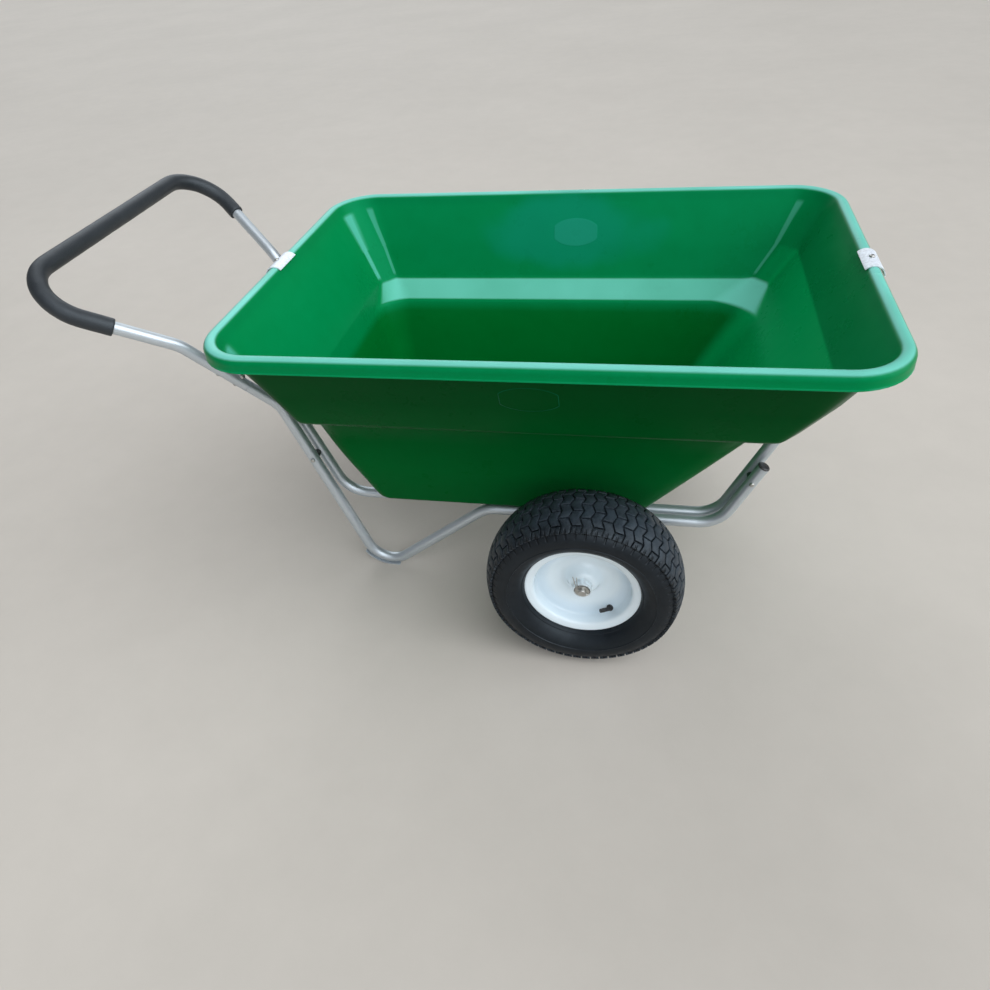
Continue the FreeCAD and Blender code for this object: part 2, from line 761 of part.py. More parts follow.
def skid_plate(label, side):
    """Wear strip under a foot bend: a flat on the ground, then up along the bend."""
    body = new_body(label)
    thick = cell("skid_thickness")
    flat = cell("skid_flat") / 2
    radius = cell("foot_bend") + cell("tube_radius") + cell("seat_gap")
    lift = radius + thick
    # positions about the foot bend's centre; the strip leaves the flat at rest_angle
    inner_rise = radius - radius * math.cos(math.radians(62.0))
    inner_back = radius * math.sin(math.radians(62.0))
    outer_rise = lift - lift * math.cos(math.radians(62.0))
    outer_back = lift * math.sin(math.radians(62.0))
    sketch = new_sketch(body, "XZ_Plane", "strip")
    outline(sketch, [
        (flat + 1.0, 0.0),
        (flat + 1.0, thick),
        (-(flat * 0.35), thick, radius + 0.6, False),
        (-inner_back, inner_rise + thick),
        (-outer_back, outer_rise, lift + 0.6, True),
        (-(flat * 0.35) - 1.2, 0.0),
    ])
    pad(body, sketch, "strip_pad", cell("skid_width"), symmetric=True)
    doc.recompute()
    finish(body, label, Placement(Vector(-mm("foot_x"), mm("leg_y") * side, 0), Rotation()))


def tube_cap(label, side):
    body = new_body(label)
    radius = cell("tube_radius")
    bore = radius - cell("tube_wall") - 0.1
    sketch = new_sketch(body, "YZ_Plane", "section")
    outline(sketch, [
        (-14.0, 0.0),
        (-14.0, bore - 1.0),
        (-12.0, bore),
        (cell("seat_gap"), bore),
        (cell("seat_gap"), radius),
        (2.5, radius),
        (4.5, radius - 2.5),
        (5.5, 0.0),
    ])
    revolve(body, sketch, "cap")
    points = leg_points()
    along = (points[5] - points[4]).normalize()
    doc.recompute()
    finish(body, label, Placement(on_side(points[5], side), Rotation(Vector(0, 1, 0), along)))


def rim_clip(label, front):
    """Sheet saddle bent over the rolled rim."""
    body = new_body(label)
    frame = clip_frame(front)
    inner = cell("clip_radius")
    outer = inner + cell("clip_thickness")
    edges = [math.radians(angle) for angle in (137.0, 70.0, 4.0)]
    sketch = new_sketch(body, "XZ_Plane", "saddle")
    reach = [(math.cos(angle), math.sin(angle)) for angle in edges]
    outline(sketch, [
        (inner * reach[0][0], inner * reach[0][1], inner, False),
        (inner * reach[1][0], inner * reach[1][1], inner, False),
        (inner * reach[2][0], inner * reach[2][1]),
        (outer * reach[2][0], outer * reach[2][1], outer, True),
        (outer * reach[1][0], outer * reach[1][1], outer, True),
        (outer * reach[0][0], outer * reach[0][1]),
    ])
    pad(body, sketch, "saddle_pad", cell("clip_width"), symmetric=True)
    doc.recompute()
    outward = Vector(frame["outward"].x * frame["side"], 0, frame["outward"].z)
    drill(body, "bolt_hole", Vector(), outward, cell("bolt_radius") + cell("bolt_clearance"), 40.0)
    doc.recompute()
    turn = Rotation() if front else Rotation(Vector(0, 0, 1), 180)
    finish(body, label, Placement(frame["centre"], turn))


# ---------------------------------------------------------------- fasteners

def hexagon(sketch, flats):
    """Regular hexagon about the origin."""
    half = as_size(flats) / 2
    corner = half * (2 / math.sqrt(3))
    return outline(sketch, [
        (corner, 0.0),
        (corner / 2, half),
        (-(corner / 2), half),
        (-corner, 0.0),
        (-(corner / 2), -half),
        (corner / 2, -half),
    ])


def bolt_shape(name, grip, nut_height, thread_end):
    """Domed bolt whose head sits on the origin and whose shank runs down."""
    body = new_body(name)
    disc = new_sketch(body, "XY_Plane", name + "_disc")
    circle(disc, cell("head_radius"))
    head = pad(body, disc, name + "_head", cell("head_height"))
    doc.recompute()
    dome = body.newObject("PartDesign::Fillet", name + "_dome")
    dome.Base = (head, level_edges(head.Shape, mm("head_height")))
    bind(dome, Radius=cell("head_edge"))
    shank = new_sketch(body, "XY_Plane", name + "_circle")
    circle(shank, cell("bolt_radius"))
    run = pad(body, shank, name + "_shank", as_size(grip) + nut_height + thread_end)
    run.Reversed = True
    doc.recompute()
    return body.Shape


def nut_shape(name, height):
    """Hexagon nut with its bearing face on the origin, facing down the bolt."""
    body = new_body(name)
    sketch = new_sketch(body, "XY_Plane", name + "_hexagon")
    hexagon(sketch, cell("hex_flats"))
    circle(sketch, cell("bolt_radius") + 0.05)
    nut = pad(body, sketch, name + "_pad", height)
    nut.Reversed = True
    doc.recompute()
    return body.Shape


def placed(shape, point, direction):
    copy = shape.copy()
    copy.Placement = Placement(point, turned(direction))
    return copy


def group(label, shapes):
    """Identical fasteners, each a solid of its own, in one node."""
    solid_feature(label, Part.makeCompound(shapes))


def fasteners():
    gap = mm("seat_gap")
    radius = mm("tube_radius")
    high = cell("nut_height")
    low = cell("low_nut_height")
    nut = nut_shape("m6_nut", high)
    low_nut = nut_shape("m6_low_nut", low)

    # rim clips: head on the clip, shank through the rim and the cross tube
    bolts = []
    nuts = []
    for front in (True, False):
        frame = clip_frame(front)
        outward = frame["outward"]
        head = frame["centre"] + outward * (mm("clip_radius") + mm("clip_thickness") + 0.2)
        under = frame["tube"] - outward * (radius + gap)
        if front:
            clip_bolt = bolt_shape("rim_clip_bolt", (head - under).Length, high, 3.0)
        bolts.append(placed(clip_bolt, head, outward))
        nuts.append(placed(nut, under, outward))
    group("rim_clip_bolts", bolts)
    group("rim_clip_nuts", nuts)

    # handle joints: heads under the tubes, nuts on top
    joint_bolt = bolt_shape("joint_bolt", 2 * (radius + gap), high, 1.0)
    bolts = []
    nuts = []
    for side in (1, -1):
        for point, head in joint_bolts(side):
            bolts.append(placed(joint_bolt, point + head * (radius + gap), head))
            nuts.append(placed(nut, point - head * (radius + gap), head))
    group("handle_joint_bolts", bolts)
    group("handle_joint_nuts", nuts)

    # tube pairs: heads outside, a spacer between the tubes, nuts inside
    bolts = []
    nuts = []
    spacers = []
    for side in (1, -1):
        for inner, outer in pair_bolts(side):
            outward = (outer - inner).normalize()
            seat = outer + outward * (radius + gap)
            under = inner - outward * (radius + gap)
            if not bolts:
                pair_bolt = bolt_shape("tube_pair_bolt", (seat - under).Length, low, 0.3)
            bolts.append(placed(pair_bolt, seat, outward))
            nuts.append(placed(low_nut, under, outward))
            spacer = rod(inner, outer, mm("spacer_radius"))
            for foot, head in straights(inner.x > 0):
                spacer = spacer.cut(rod(on_side(foot, side), on_side(head, side), radius + gap / 3))
            bore = mm("bolt_radius") + mm("bolt_clearance")
            spacers.append(spacer.cut(rod(inner, outer, bore)))
    group("tube_pair_bolts", bolts)
    group("tube_pair_nuts", nuts)
    group("tube_spacers", spacers)


# ---------------------------------------------------------------- axle

def cylinder_body(label, radius, bore, length, place):
    """Turned ring or rod about Y, from the origin towards +Y."""
    body = new_body(label)
    sketch = new_sketch(body, "XZ_Plane", label + "_ends")
    circle(sketch, radius)
    if bore is not None:
        circle(sketch, bore)
    run = pad(body, sketch, label + "_length", length)
    run.Reversed = True
    doc.recompute()
    finish(body, label, place)
    return body


def axle():
    body = new_body("axle")
    sketch = new_sketch(body, "XZ_Plane", "axle_end_face")
    circle(sketch, cell("axle_radius"))
    bar = pad(body, sketch, "axle_rod", cell("axle_end") * 2, symmetric=True)
    doc.recompute()
    edges = ["Edge%d" % index for index, edge in enumerate(bar.Shape.Edges, 1)
             if edge.Curve.TypeId == "Part::GeomCircle"]
    chamfer = body.newObject("PartDesign::Chamfer", "axle_ends")
    chamfer.Base = (bar, edges)
    chamfer.Size = 1.0
    doc.recompute()
    along = pin_direction()
    for side in (1, -1):
        way = Vector(along.x * side, 0, along.z)
        start = Vector(0, mm("pin_y") * side, 0) - way * 12
        drill(body, "pin_hole_%s" % ("left" if side > 0 else "right"), start, way, 2.2, 24.0)
    doc.recompute()
    finish(body, "axle", Placement(Vector(0, 0, mm("run_level")), Rotation()))


def pin_direction():
    """Way a split pin points, from its eye to its legs, on the left wheel's side."""
    return Vector(0.862, 0, 0.507).normalize()


def split_pin(label, side):
    """Round wire pin: an eye, two legs through the axle, legs bent up outside it."""
    along = pin_direction()
    across = Vector(-along.z, 0, along.x)
    middle = Vector(0, mm("pin_y"), 0)
    wire = 0.95
    eye_radius = 4.2
    shapes = []
    for offset, lean, rise in ((1.0, 0.05, 35.0), (-1.0, 0.22, 39.0)):
        line = middle + across * offset
        start = line - along * 14.0
        knee = line + along * 11.0
        up = Vector(lean, 0, 1).normalize()
        shapes.append(bent_tube([start, knee, knee + up * rise], [4.0], wire, 0))
    eye = Part.makeTorus(eye_radius, wire, middle - along * (14.0 + eye_radius - 0.4),
                         Vector(0, 1, 0))
    shape = shapes[0].fuse(eye).fuse(shapes[1])
    turn = Rotation() if side > 0 else Rotation(Vector(0, 0, 1), 180)
    solid_feature(label, shape, Placement(Vector(0, 0, mm("run_level")), turn))


def axle_parts():
    axle()
    level = Vector(0, 0, mm("run_level"))
    turn_back = Rotation(Vector(0, 0, 1), 180)
    thick = mm("washer_thickness")
    gap = mm("seat_gap")
    bearing_face = mm("wheel_y") + mm("hub_half_length") - mm("bearing_recess")
    inner_face = mm("wheel_y") - mm("hub_half_length") + mm("bearing_recess")
    tube_face = mm("leg_y") + mm("tube_radius") + gap
    for name, side in (("left", 1), ("right", -1)):
        turn = Rotation() if side > 0 else turn_back
        outer_y = bearing_face + gap
        inner_y = inner_face - gap - thick
        for kind, y in (("outer", outer_y), ("inner", inner_y)):
            cylinder_body("%s_washer_%s" % (kind, name), cell("washer_radius"),
                          cell("axle_radius") + 0.3, cell("washer_thickness"),
                          Placement(Vector(0, y * side, 0) + level, turn))
        length = (cell("wheel_y") - cell("hub_half_length") + cell("bearing_recess")
                  - cell("seat_gap") * 3 - cell("washer_thickness")
                  - cell("leg_y") - cell("tube_radius"))
        cylinder_body("axle_spacer_%s" % name, cell("sleeve_radius"),
                      cell("axle_radius") + 0.3, length,
                      Placement(Vector(0, tube_face * side, 0) + level, turn))
        split_pin("split_pin_%s" % name, side)


# ---------------------------------------------------------------- wheels

def wheel_place(side):
    turn = Rotation() if side > 0 else Rotation(Vector(0, 0, 1), 180)
    return Placement(Vector(0, mm("wheel_y") * side, mm("run_level")), turn)


def tyre(label, side):
    body = new_body(label)
    crown = cell("wheel_radius")
    edge = cell("crown_half_width")
    edge_r = crown - cell("crown_drop")
    half = cell("tyre_half_width")
    crown_arc = 127.5
    flange = cell("flange_half_width")
    tip = cell("flange_radius")
    heel = tip + 3.0
    wall_r = tip + (edge_r - tip) * 0.605
    seat = cell("bead_seat") + 0.2
    bead_face = flange - cell("rim_wall") - 0.3
    sketch = new_sketch(body, "YZ_Plane", "tyre_section")
    outline(sketch, [
        (-edge, edge_r, crown_arc, False),
        (edge, edge_r, 62.0, False),
        (half, wall_r, 58.0, False),
        (flange + 4.0, heel),
        (flange + 0.5, tip + 1.5),
        (bead_face, tip + 0.3),
        (bead_face, seat + 5.6),
        (bead_face - 4.4, seat),
        (bead_face - 15.0, seat),
        (bead_face - 14.0, seat + 8.0),
        (bead_face - 5.0, heel, 70.0, True),
        (half - 7.0, wall_r - 1.0, 45.0, True),
        (edge - 9.0, edge_r - 7.0, 118.0, True),
        (-edge + 9.0, edge_r - 7.0, 45.0, True),
        (-half + 7.0, wall_r - 1.0, 70.0, True),
        (-bead_face + 5.0, heel),
        (-bead_face + 14.0, seat + 8.0),
        (-bead_face + 15.0, seat),
        (-bead_face + 4.4, seat),
        (-bead_face, seat + 5.6),
        (-bead_face, tip + 0.3),
        (-flange - 0.5, tip + 1.5),
        (-flange - 4.0, heel, 58.0, False),
        (-half, wall_r, 62.0, False),
    ])
    revolve(body, sketch, "carcass")
    doc.recompute()
    finish(body, label, wheel_place(side))


def rim_outer_half(label, side, valve):
    """Outer pressing: flange, bead seat, stepped dish and raised centre."""
    body = new_body(label)
    flange = cell("flange_half_width")
    tip = cell("flange_radius")
    wall = cell("rim_wall")
    seat = cell("bead_seat")
    hub = cell("hub_radius") + 0.1
    sketch = new_sketch(body, "YZ_Plane", "dish_section")
    outline(sketch, [
        (flange, tip),
        (flange, tip - 5.0),
        (flange - 3.5, seat - wall + 1.0),
        (16.0, 97.0),
        (9.0, 84.0),
        (-4.0, 55.0),
        (-4.0, 43.0),
        (19.0, 26.0),
        (21.0, hub),
        (18.3, hub),
        (16.5, 24.5),
        (-6.6, 41.5),
        (-6.6, 55.7),
        (6.4, 84.9),
        (14.0, 99.4),
        (20.0, seat),
        (flange - 6.5, seat),
        (flange - wall, seat + 5.0),
        (flange - wall, tip),
    ])
    revolve(body, sketch, "dish")
    doc.recompute()
    drill(body, "valve_hole", valve["base"] - valve["along"] * 12, valve["along"], 6.0, 24.0)
    doc.recompute()
    finish(body, label, wheel_place(side))


def rim_inner_half(label, side):
    """Inner pressing: flange, bead seat and well, welded to the back of the dish."""
    body = new_body(label)
    flange = cell("flange_half_width")
    tip = cell("flange_radius")
    wall = cell("rim_wall")
    seat = cell("bead_seat")
    sketch = new_sketch(body, "YZ_Plane", "well_section")
    outline(sketch, [
        (-flange, tip),
        (-flange, tip - 5.0),
        (-flange + 3.5, seat - wall),
        (-17.0, seat - wall),
        (-11.0, 77.5),
        (2.8, 77.5),
        (3.9, 80.0),
        (-9.3, 80.0),
        (-15.0, seat),
        (-flange + 6.5, seat),
        (-flange + wall, seat + 5.0),
        (-flange + wall, tip),
    ])
    revolve(body, sketch, "well")
    doc.recompute()
    finish(body, label, wheel_place(side))


def bearing(body_label, side, outer_end):
    """Flanged sleeve bearing pressed into one end of the hub."""
    body = new_body(body_label)
    outer = cell("hub_radius") - cell("hub_wall")
    bore = cell("axle_radius") + cell("running_clearance")
    face = cell("hub_half_length") - cell("bearing_recess")
    sketch = new_sketch(body, "YZ_Plane", body_label + "_section")
    outline(sketch, [
        (face, bore),
        (face, outer - 0.05),
        (face - cell("bearing_length"), outer - 0.05),
        (face - cell("bearing_length"), bore),
    ])
    revolve(body, sketch, body_label + "_ring")
    doc.recompute()
    place = wheel_place(side)
    if not outer_end:
        place = place * Placement(Vector(), Rotation(Vector(0, 0, 1), 180))
    finish(body, body_label, place)


def valve_parts(name, side, valve):
    """Snap-in rubber stem in the dish wall, bent over towards the hub, with its cap."""
    root = new_body("valve_root_%s" % name)
    sketch = new_sketch(root, "YZ_Plane", "root_section")
    outline(sketch, [
        (-4.8, 0.0),
        (-4.8, 8.5),
        (-1.7, 8.5),
        (-1.7, 5.7),
        (1.7, 5.7),
        (1.7, 7.4),
        (4.2, 7.0),
        (6.5, 5.0),
        (6.5, 0.0),
    ])
    revolve(root, sketch, "root")
    doc.recompute()
    base = valve["base"]
    shape = pointed(root.Shape, base, valve["along"])
    knee = base + valve["along"] * 9.5
    end = knee + valve["lean"] * 11.0
    shape = shape.fuse(bent_tube([base, knee, end], [6.0], 4.3, 0))
    solid_feature("valve_stem_%s" % name, shape, wheel_place(side))
    cap = new_body("valve_cap_%s" % name)
    sketch = new_sketch(cap, "YZ_Plane", "cap_section")
    outline(sketch, [
        (0.3, 0.0),
        (0.3, 4.7),
        (10.0, 4.3),
        (11.0, 3.0),
        (11.0, 0.0),
    ])
    revolve(cap, sketch, "cap_turn")
    doc.recompute()
    aim = Placement(end, Rotation(Vector(0, 1, 0), valve["lean"]))
    finish(cap, "valve_cap_%s" % name, wheel_place(side) * aim)


def pointed(shape, point, direction):
    """Copy of a turned piece, drawn along Y, set on a point and pointed along a direction."""
    copy = shape.copy()
    copy.Placement = Placement(point, Rotation(Vector(0, 1, 0), direction))
    return copy


def valve_frame():
    """Where the valve leaves the dish's sloping wall and how it leans, in the wheel's own axes."""
    around = Vector(-59.0, 0, -76.0).normalize()
    base = around * 91.5 + Vector(0, 11.3, 0)
    along = (Vector(0, 13.0, 0) - around * 7.0).normalize()
    lean = Vector(0.785, 0.558, 0.269).normalize()
    return {"base": base, "along": along, "lean": lean}


def wheel(name, side):
    valve = valve_frame()
    tyre("tyre_%s" % name, side)
    rim_outer_half("rim_outer_half_%s" % name, side, valve)
    rim_inner_half("rim_inner_half_%s" % name, side)
    label = "hub_tube_%s" % name
    length = cell("hub_half_length") * 2
    place = wheel_place(side) * Placement(Vector(0, -mm("hub_half_length"), 0), Rotation())
    cylinder_body(label, cell("hub_radius"), cell("hub_radius") - cell("hub_wall"), length, place)
    bearing("outer_bearing_%s" % name, side, True)
    bearing("inner_bearing_%s" % name, side, False)
    valve_parts(name, side, valve)


# ---------------------------------------------------------------- the cart

tub()
for name, side in (("left", 1), ("right", -1)):
    leg_tube("leg_tube_%s" % name, side)
    skid_plate("skid_plate_%s" % name, side)
    tube_cap("tube_cap_%s" % name, side)
    wheel(name, side)
front_hoop()
rear_hoop()
handle_tube()
foam_grip()
rim_clip("front_rim_clip", True)
rim_clip("rear_rim_clip", False)
fasteners()
axle_parts()
doc.recompute()

problems = []
for item in doc.Objects:
    if "Invalid" in item.State or "Error" in item.State:
        problems.append(item.Name)
for label, feature in nodes:
    if feature.Shape.isNull() or not feature.Shape.isValid() or not feature.Shape.Solids:
        problems.append(label)
if problems:
    raise RuntimeError("not sound: %s" % ", ".join(problems))

os.makedirs("parts", exist_ok=True)
for label, feature in nodes:
    feature.Shape.exportStep("parts/%s.step" % label)
print("%d pieces written" % len(nodes))
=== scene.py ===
import json
import math

import bmesh
import bpy
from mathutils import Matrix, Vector

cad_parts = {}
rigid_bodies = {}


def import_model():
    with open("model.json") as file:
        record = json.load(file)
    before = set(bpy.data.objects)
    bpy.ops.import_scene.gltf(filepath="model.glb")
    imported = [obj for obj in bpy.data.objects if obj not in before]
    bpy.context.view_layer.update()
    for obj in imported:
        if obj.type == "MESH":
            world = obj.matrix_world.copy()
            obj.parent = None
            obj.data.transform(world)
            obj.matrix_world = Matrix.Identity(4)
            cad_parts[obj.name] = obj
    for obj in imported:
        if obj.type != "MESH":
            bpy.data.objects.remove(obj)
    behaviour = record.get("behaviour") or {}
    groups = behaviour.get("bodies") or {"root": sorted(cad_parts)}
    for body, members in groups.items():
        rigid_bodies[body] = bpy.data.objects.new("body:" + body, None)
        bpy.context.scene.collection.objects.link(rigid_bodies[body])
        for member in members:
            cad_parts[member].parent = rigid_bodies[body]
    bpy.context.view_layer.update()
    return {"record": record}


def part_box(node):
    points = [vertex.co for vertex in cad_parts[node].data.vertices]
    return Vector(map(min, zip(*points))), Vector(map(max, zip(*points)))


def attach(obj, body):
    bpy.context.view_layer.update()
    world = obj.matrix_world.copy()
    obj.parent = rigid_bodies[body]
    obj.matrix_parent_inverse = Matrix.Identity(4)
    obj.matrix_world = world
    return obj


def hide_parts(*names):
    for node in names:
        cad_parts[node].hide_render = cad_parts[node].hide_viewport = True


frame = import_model()

# Two-wheeled garden cart.  Metres, the same axes as the solids: X to the front of
# the tub, Y to the cart's left, Z up.

AXLE = Vector(((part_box("axle")[0][0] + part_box("axle")[1][0]) / 2, 0.0,
               (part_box("axle")[0][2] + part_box("axle")[1][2]) / 2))
# the wheels' middles lie this far out to the right (-Y) and to the left
WHEEL_Y = 0.359
RIGHT = -1
LEFT = 1
LUGS_ROUND = 60

# distances from the axle back and forward, half the width, the plan radius of the
# rear and of the front corners, and the level: of the tub's inner surface, and in RIM
# of the rolled rim's outer edge and top
FLOOR = (0.508, 0.126, 0.173, 0.040, 0.066, 0.220)
WAIST = (0.5515, 0.259, 0.239, 0.053, 0.090, 0.400)
LEDGE_INNER = (0.578, 0.340, 0.276, 0.074, 0.104, 0.510)
LEDGE_OUTER = (0.584, 0.368, 0.328, 0.055, 0.060, 0.547)
CREASE = (0.616, 0.421, 0.351, 0.068, 0.072, 0.619)
RIM = (0.6932, 0.50625, 0.4148, 0.110, 0.110, 0.7333)
BEAD_RADIUS = 0.01375
LIP_FOOT = 0.7057
# the hem under the lip: how far in from the rim's edge, and how far above its foot
LIP_HEM = ((0.0, 0.0016), (-0.0006, 0.0007), (0.0002, 0.0))
TUB_WALL = 0.0038
BEAD_ANGLES = (160, 146, 132, 118, 104, 90, 75, 60, 45, 30, 15, 0)
# rings with facets for corners and the radius that eases each; then the eased folds,
# with their width and number of segments
FACETS = ((CREASE, 0.016), (LEDGE_OUTER, 0.014))
FOLDS = ((CREASE, 0.005, 3), (LEDGE_OUTER, 0.006, 4), (LEDGE_INNER, 0.006, 4),
         (WAIST, 0.040, 5), (FLOOR, 0.019, 6))
# two places this close together are the same
NEAR = 0.0001

# levels between which the tub's colour changes
LEDGE_FADE = (0.46, 0.50)
WELL_SHADE = (0.485, 0.506)
OUTSIDE_SHADE = (0.36, 0.62)
WALL_LINES = (0.553, 0.558, 0.704, 0.709)
CHUTE_FADE = (0.66, 0.63)
RIM_TINT = (0.708, 0.716)
RIM_FADE = (0.716, 0.724)
FLASH_FADE = (0.7095, 0.7080)
FLASH_FOOT = 0.7050

# half the width and height of the raised ovals and of the painted sheen patch about them,
# where their blunt ends lie, and how far to each side of the cart they begin
OVAL_HALF = (0.058, 0.030)
PATCH_HALF = (0.20, 0.085)
OVAL_ENDS = (0.0525, 0.0510)
OVAL_SIDE = 0.30

# distances from the axle between which the wheels' colour changes
LUG_RISE = (0.186, 0.2005)
CUT_BAND = (0.1745, 0.1765, 0.1880, 0.1895)
DROP_SHADE_RADII = (0.0700, 0.0830, 0.0960, 0.0990)


# ---------------------------------------------------------------- hand tools

def deselect():
    if bpy.context.mode != "OBJECT":
        bpy.ops.object.mode_set(mode="OBJECT")
    bpy.ops.object.select_all(action="DESELECT")


def take(obj):
    deselect()
    obj.select_set(True)
    bpy.context.view_layer.objects.active = obj


def new_piece(name):
    obj = bpy.context.object
    obj.name = name
    obj.data.name = name
    bpy.ops.object.transform_apply(location=True, rotation=True, scale=True)
    return obj


def edit(obj, kind="VERT"):
    take(obj)
    bpy.ops.object.mode_set(mode="EDIT")
    bpy.ops.mesh.select_mode(type=kind)


def leave():
    bpy.ops.object.mode_set(mode="OBJECT")


def choose(obj, test, kind="verts"):
    """Select the elements that pass a test; everything else is let go."""
    mesh = bmesh.from_edit_mesh(obj.data)
    for elements in (mesh.faces, mesh.edges, mesh.verts):
        for element in elements:
            element.select = False
    for element in getattr(mesh, kind):
        if test(element):
            element.select = True
    mesh.select_flush_mode()
    bmesh.update_edit_mesh(obj.data)


def apply_modifier(obj, kind, **settings):
    take(obj)
    modifier = obj.modifiers.new(kind.lower(), kind)
    for name, value in settings.items():
        setattr(modifier, name, value)
    bpy.ops.object.modifier_apply(modifier=modifier.name)


def smooth(obj, angle):
    take(obj)
    bpy.ops.object.shade_smooth_by_angle(angle=math.radians(angle))


def close_up(obj):
    """Merge doubles and face every side outwards."""
    edit(obj)
    bpy.ops.mesh.select_all(action="SELECT")
    bpy.ops.mesh.remove_doubles(threshold=0.00002)
    bpy.ops.mesh.normals_make_consistent(inside=False)
    leave()


def turned(name, profile, segments):
    """Piece turned on the right wheel: rings at (distance out from its middle, radius)."""
    def centre(out):
        return Vector((AXLE.x, RIGHT * (WHEEL_Y + out), AXLE.z))

    deselect()
    out, radius = profile[0]
    bpy.ops.mesh.primitive_circle_add(vertices=segments, radius=radius, location=centre(out),
                                      rotation=(math.pi / 2, 0, 0))
    obj = new_piece(name)
    edit(obj, "EDGE")
    bpy.ops.mesh.select_all(action="SELECT")
    for new_out, new_radius in profile[1:]:
        bpy.ops.mesh.extrude_region_move(
            TRANSFORM_OT_translate={"value": (0, RIGHT * (new_out - out), 0)})
        scale = new_radius / radius
        bpy.ops.transform.resize(value=(scale, 1, scale), center_override=centre(new_out))
        out, radius = new_out, new_radius
    leave()
    close_up(obj)
    return obj


def opposite(obj, name):
    """The same piece on the other wheel, turned half round the cart's upright axis."""
    take(obj)
    bpy.ops.object.duplicate()
    copy = bpy.context.object
    copy.name = name
    copy.data.name = name
    copy.rotation_euler = (0, 0, math.pi)
    copy.location = (2 * AXLE.x, 0, 0)
    bpy.ops.object.transform_apply(location=True, rotation=True, scale=True)
    return copy


def dress(obj, finish):
    obj.data.materials.clear()
    obj.data.materials.append(finish)
    return obj


# ---------------------------------------------------------------- shader helpers

def grey(value):
    if isinstance(value, tuple):
        return value + (1.0,) if len(value) == 3 else value
    return (value, value, value, 1.0)


def feed(tree, inlet, source):
    """Give an inlet a link, a colour or a plain value."""
    if isinstance(source, bpy.types.NodeSocket):
        tree.links.new(source, inlet)
    elif inlet.type == "RGBA":
        inlet.default_value = grey(source)
    else:
        inlet.default_value = source


def add(tree, kind, sources=None, **settings):
    """Add a node, set its values and feed its inlets."""
    node = tree.nodes.new("ShaderNode" + kind)
    for name, value in settings.items():
        setattr(node, name, value)
    for name, source in (sources or {}).items():
        feed(tree, node.inputs[name], source)
    return node


def ramp(tree, source, stops):
    node = add(tree, "ValToRGB", {"Fac": source})
    elements = node.color_ramp.elements
    elements[0].position, elements[0].color = stops[0][0], grey(stops[0][1])
    elements[1].position, elements[1].color = stops[-1][0], grey(stops[-1][1])
    for position, value in stops[1:-1]:
        elements.new(position).color = grey(value)
    return node.outputs["Color"]


def blend(tree, amount, first, second, mode="MIX"):
    node = add(tree, "Mix", data_type="RGBA", blend_type=mode)
    for index, source in ((0, amount), (6, first), (7, second)):
        feed(tree, node.inputs[index], source)
    return node.outputs[2]


def maths(tree, operation, first, second=None, clamp=False):
    sources = {0: first} if second is None else {0: first, 1: second}
    return add(tree, "Math", sources, operation=operation, use_clamp=clamp).outputs[0]


def product(tree, first, *others):
    for other in others:
        first = maths(tree, "MULTIPLY", first, other)
    return first


def span(tree, value, low, high, to_low=0.0, to_high=1.0, smooth=False):
    """How far a value has gone from one limit to another, held at both ends."""
    return add(tree, "MapRange", {"Value": value, "From Min": low, "From Max": high,
                                  "To Min": to_low, "To Max": to_high},
               interpolation_type="SMOOTHSTEP" if smooth else "LINEAR").outputs["Result"]


def noise(tree, place, scale, detail=2.0, roughness=0.5):
    return add(tree, "TexNoise", {"Vector": place, "Scale": scale, "Detail": detail,
                                  "Roughness": roughness}).outputs["Fac"]


def split(tree, vector):
    return add(tree, "SeparateXYZ", {"Vector": vector}).outputs


def surface(tree, what):
    return tree.nodes.new("ShaderNodeNewGeometry").outputs[what]


# ---------------------------------------------------------------- shader groups

def new_group(name, inlets, outlets):
    """A node group with inlets (name, kind, value) beside its place, and outlets."""
    tree = bpy.data.node_groups.new(name, "ShaderNodeTree")
    tree.interface.new_socket("Vector", in_out="INPUT", socket_type="NodeSocketVector")
    for label, kind, value in inlets:
        made = tree.interface.new_socket(label, in_out="INPUT", socket_type="NodeSocket" + kind)
        made.default_value = value
    for label, kind in outlets:
        tree.interface.new_socket(label, in_out="OUTPUT", socket_type="NodeSocket" + kind)
    given = tree.nodes.new("NodeGroupInput")
    result = tree.nodes.new("NodeGroupOutput")
    return tree, given.outputs, result.inputs


def mottle_group():
    """Slow, uneven colour: two sizes of cloud mixed between two colours."""
    tree, given, out = new_group(
        "mottle",
        [("Scale", "Float", 6.0), ("Base", "Color", grey(0.5)), ("Worn", "Color", grey(0.6)),
         ("Amount", "Float", 0.5)],
        [("Color", "Color"), ("Mask", "Float")])
    coarse = noise(tree, given["Vector"], given["Scale"], 5.0, 0.6)
    fine = noise(tree, given["Vector"], maths(tree, "MULTIPLY", given["Scale"], 9.0), 4.0, 0.65)
    both = maths(tree, "ADD", product(tree, coarse, 0.65), product(tree, fine, 0.35))
    mask = ramp(tree, both, [(0.38, 0.0), (0.66, 1.0)])
    amount = maths(tree, "MULTIPLY", mask, given["Amount"], clamp=True)
    tree.links.new(blend(tree, amount, given["Base"], given["Worn"]), out["Color"])
    tree.links.new(amount, out["Mask"])
    return tree


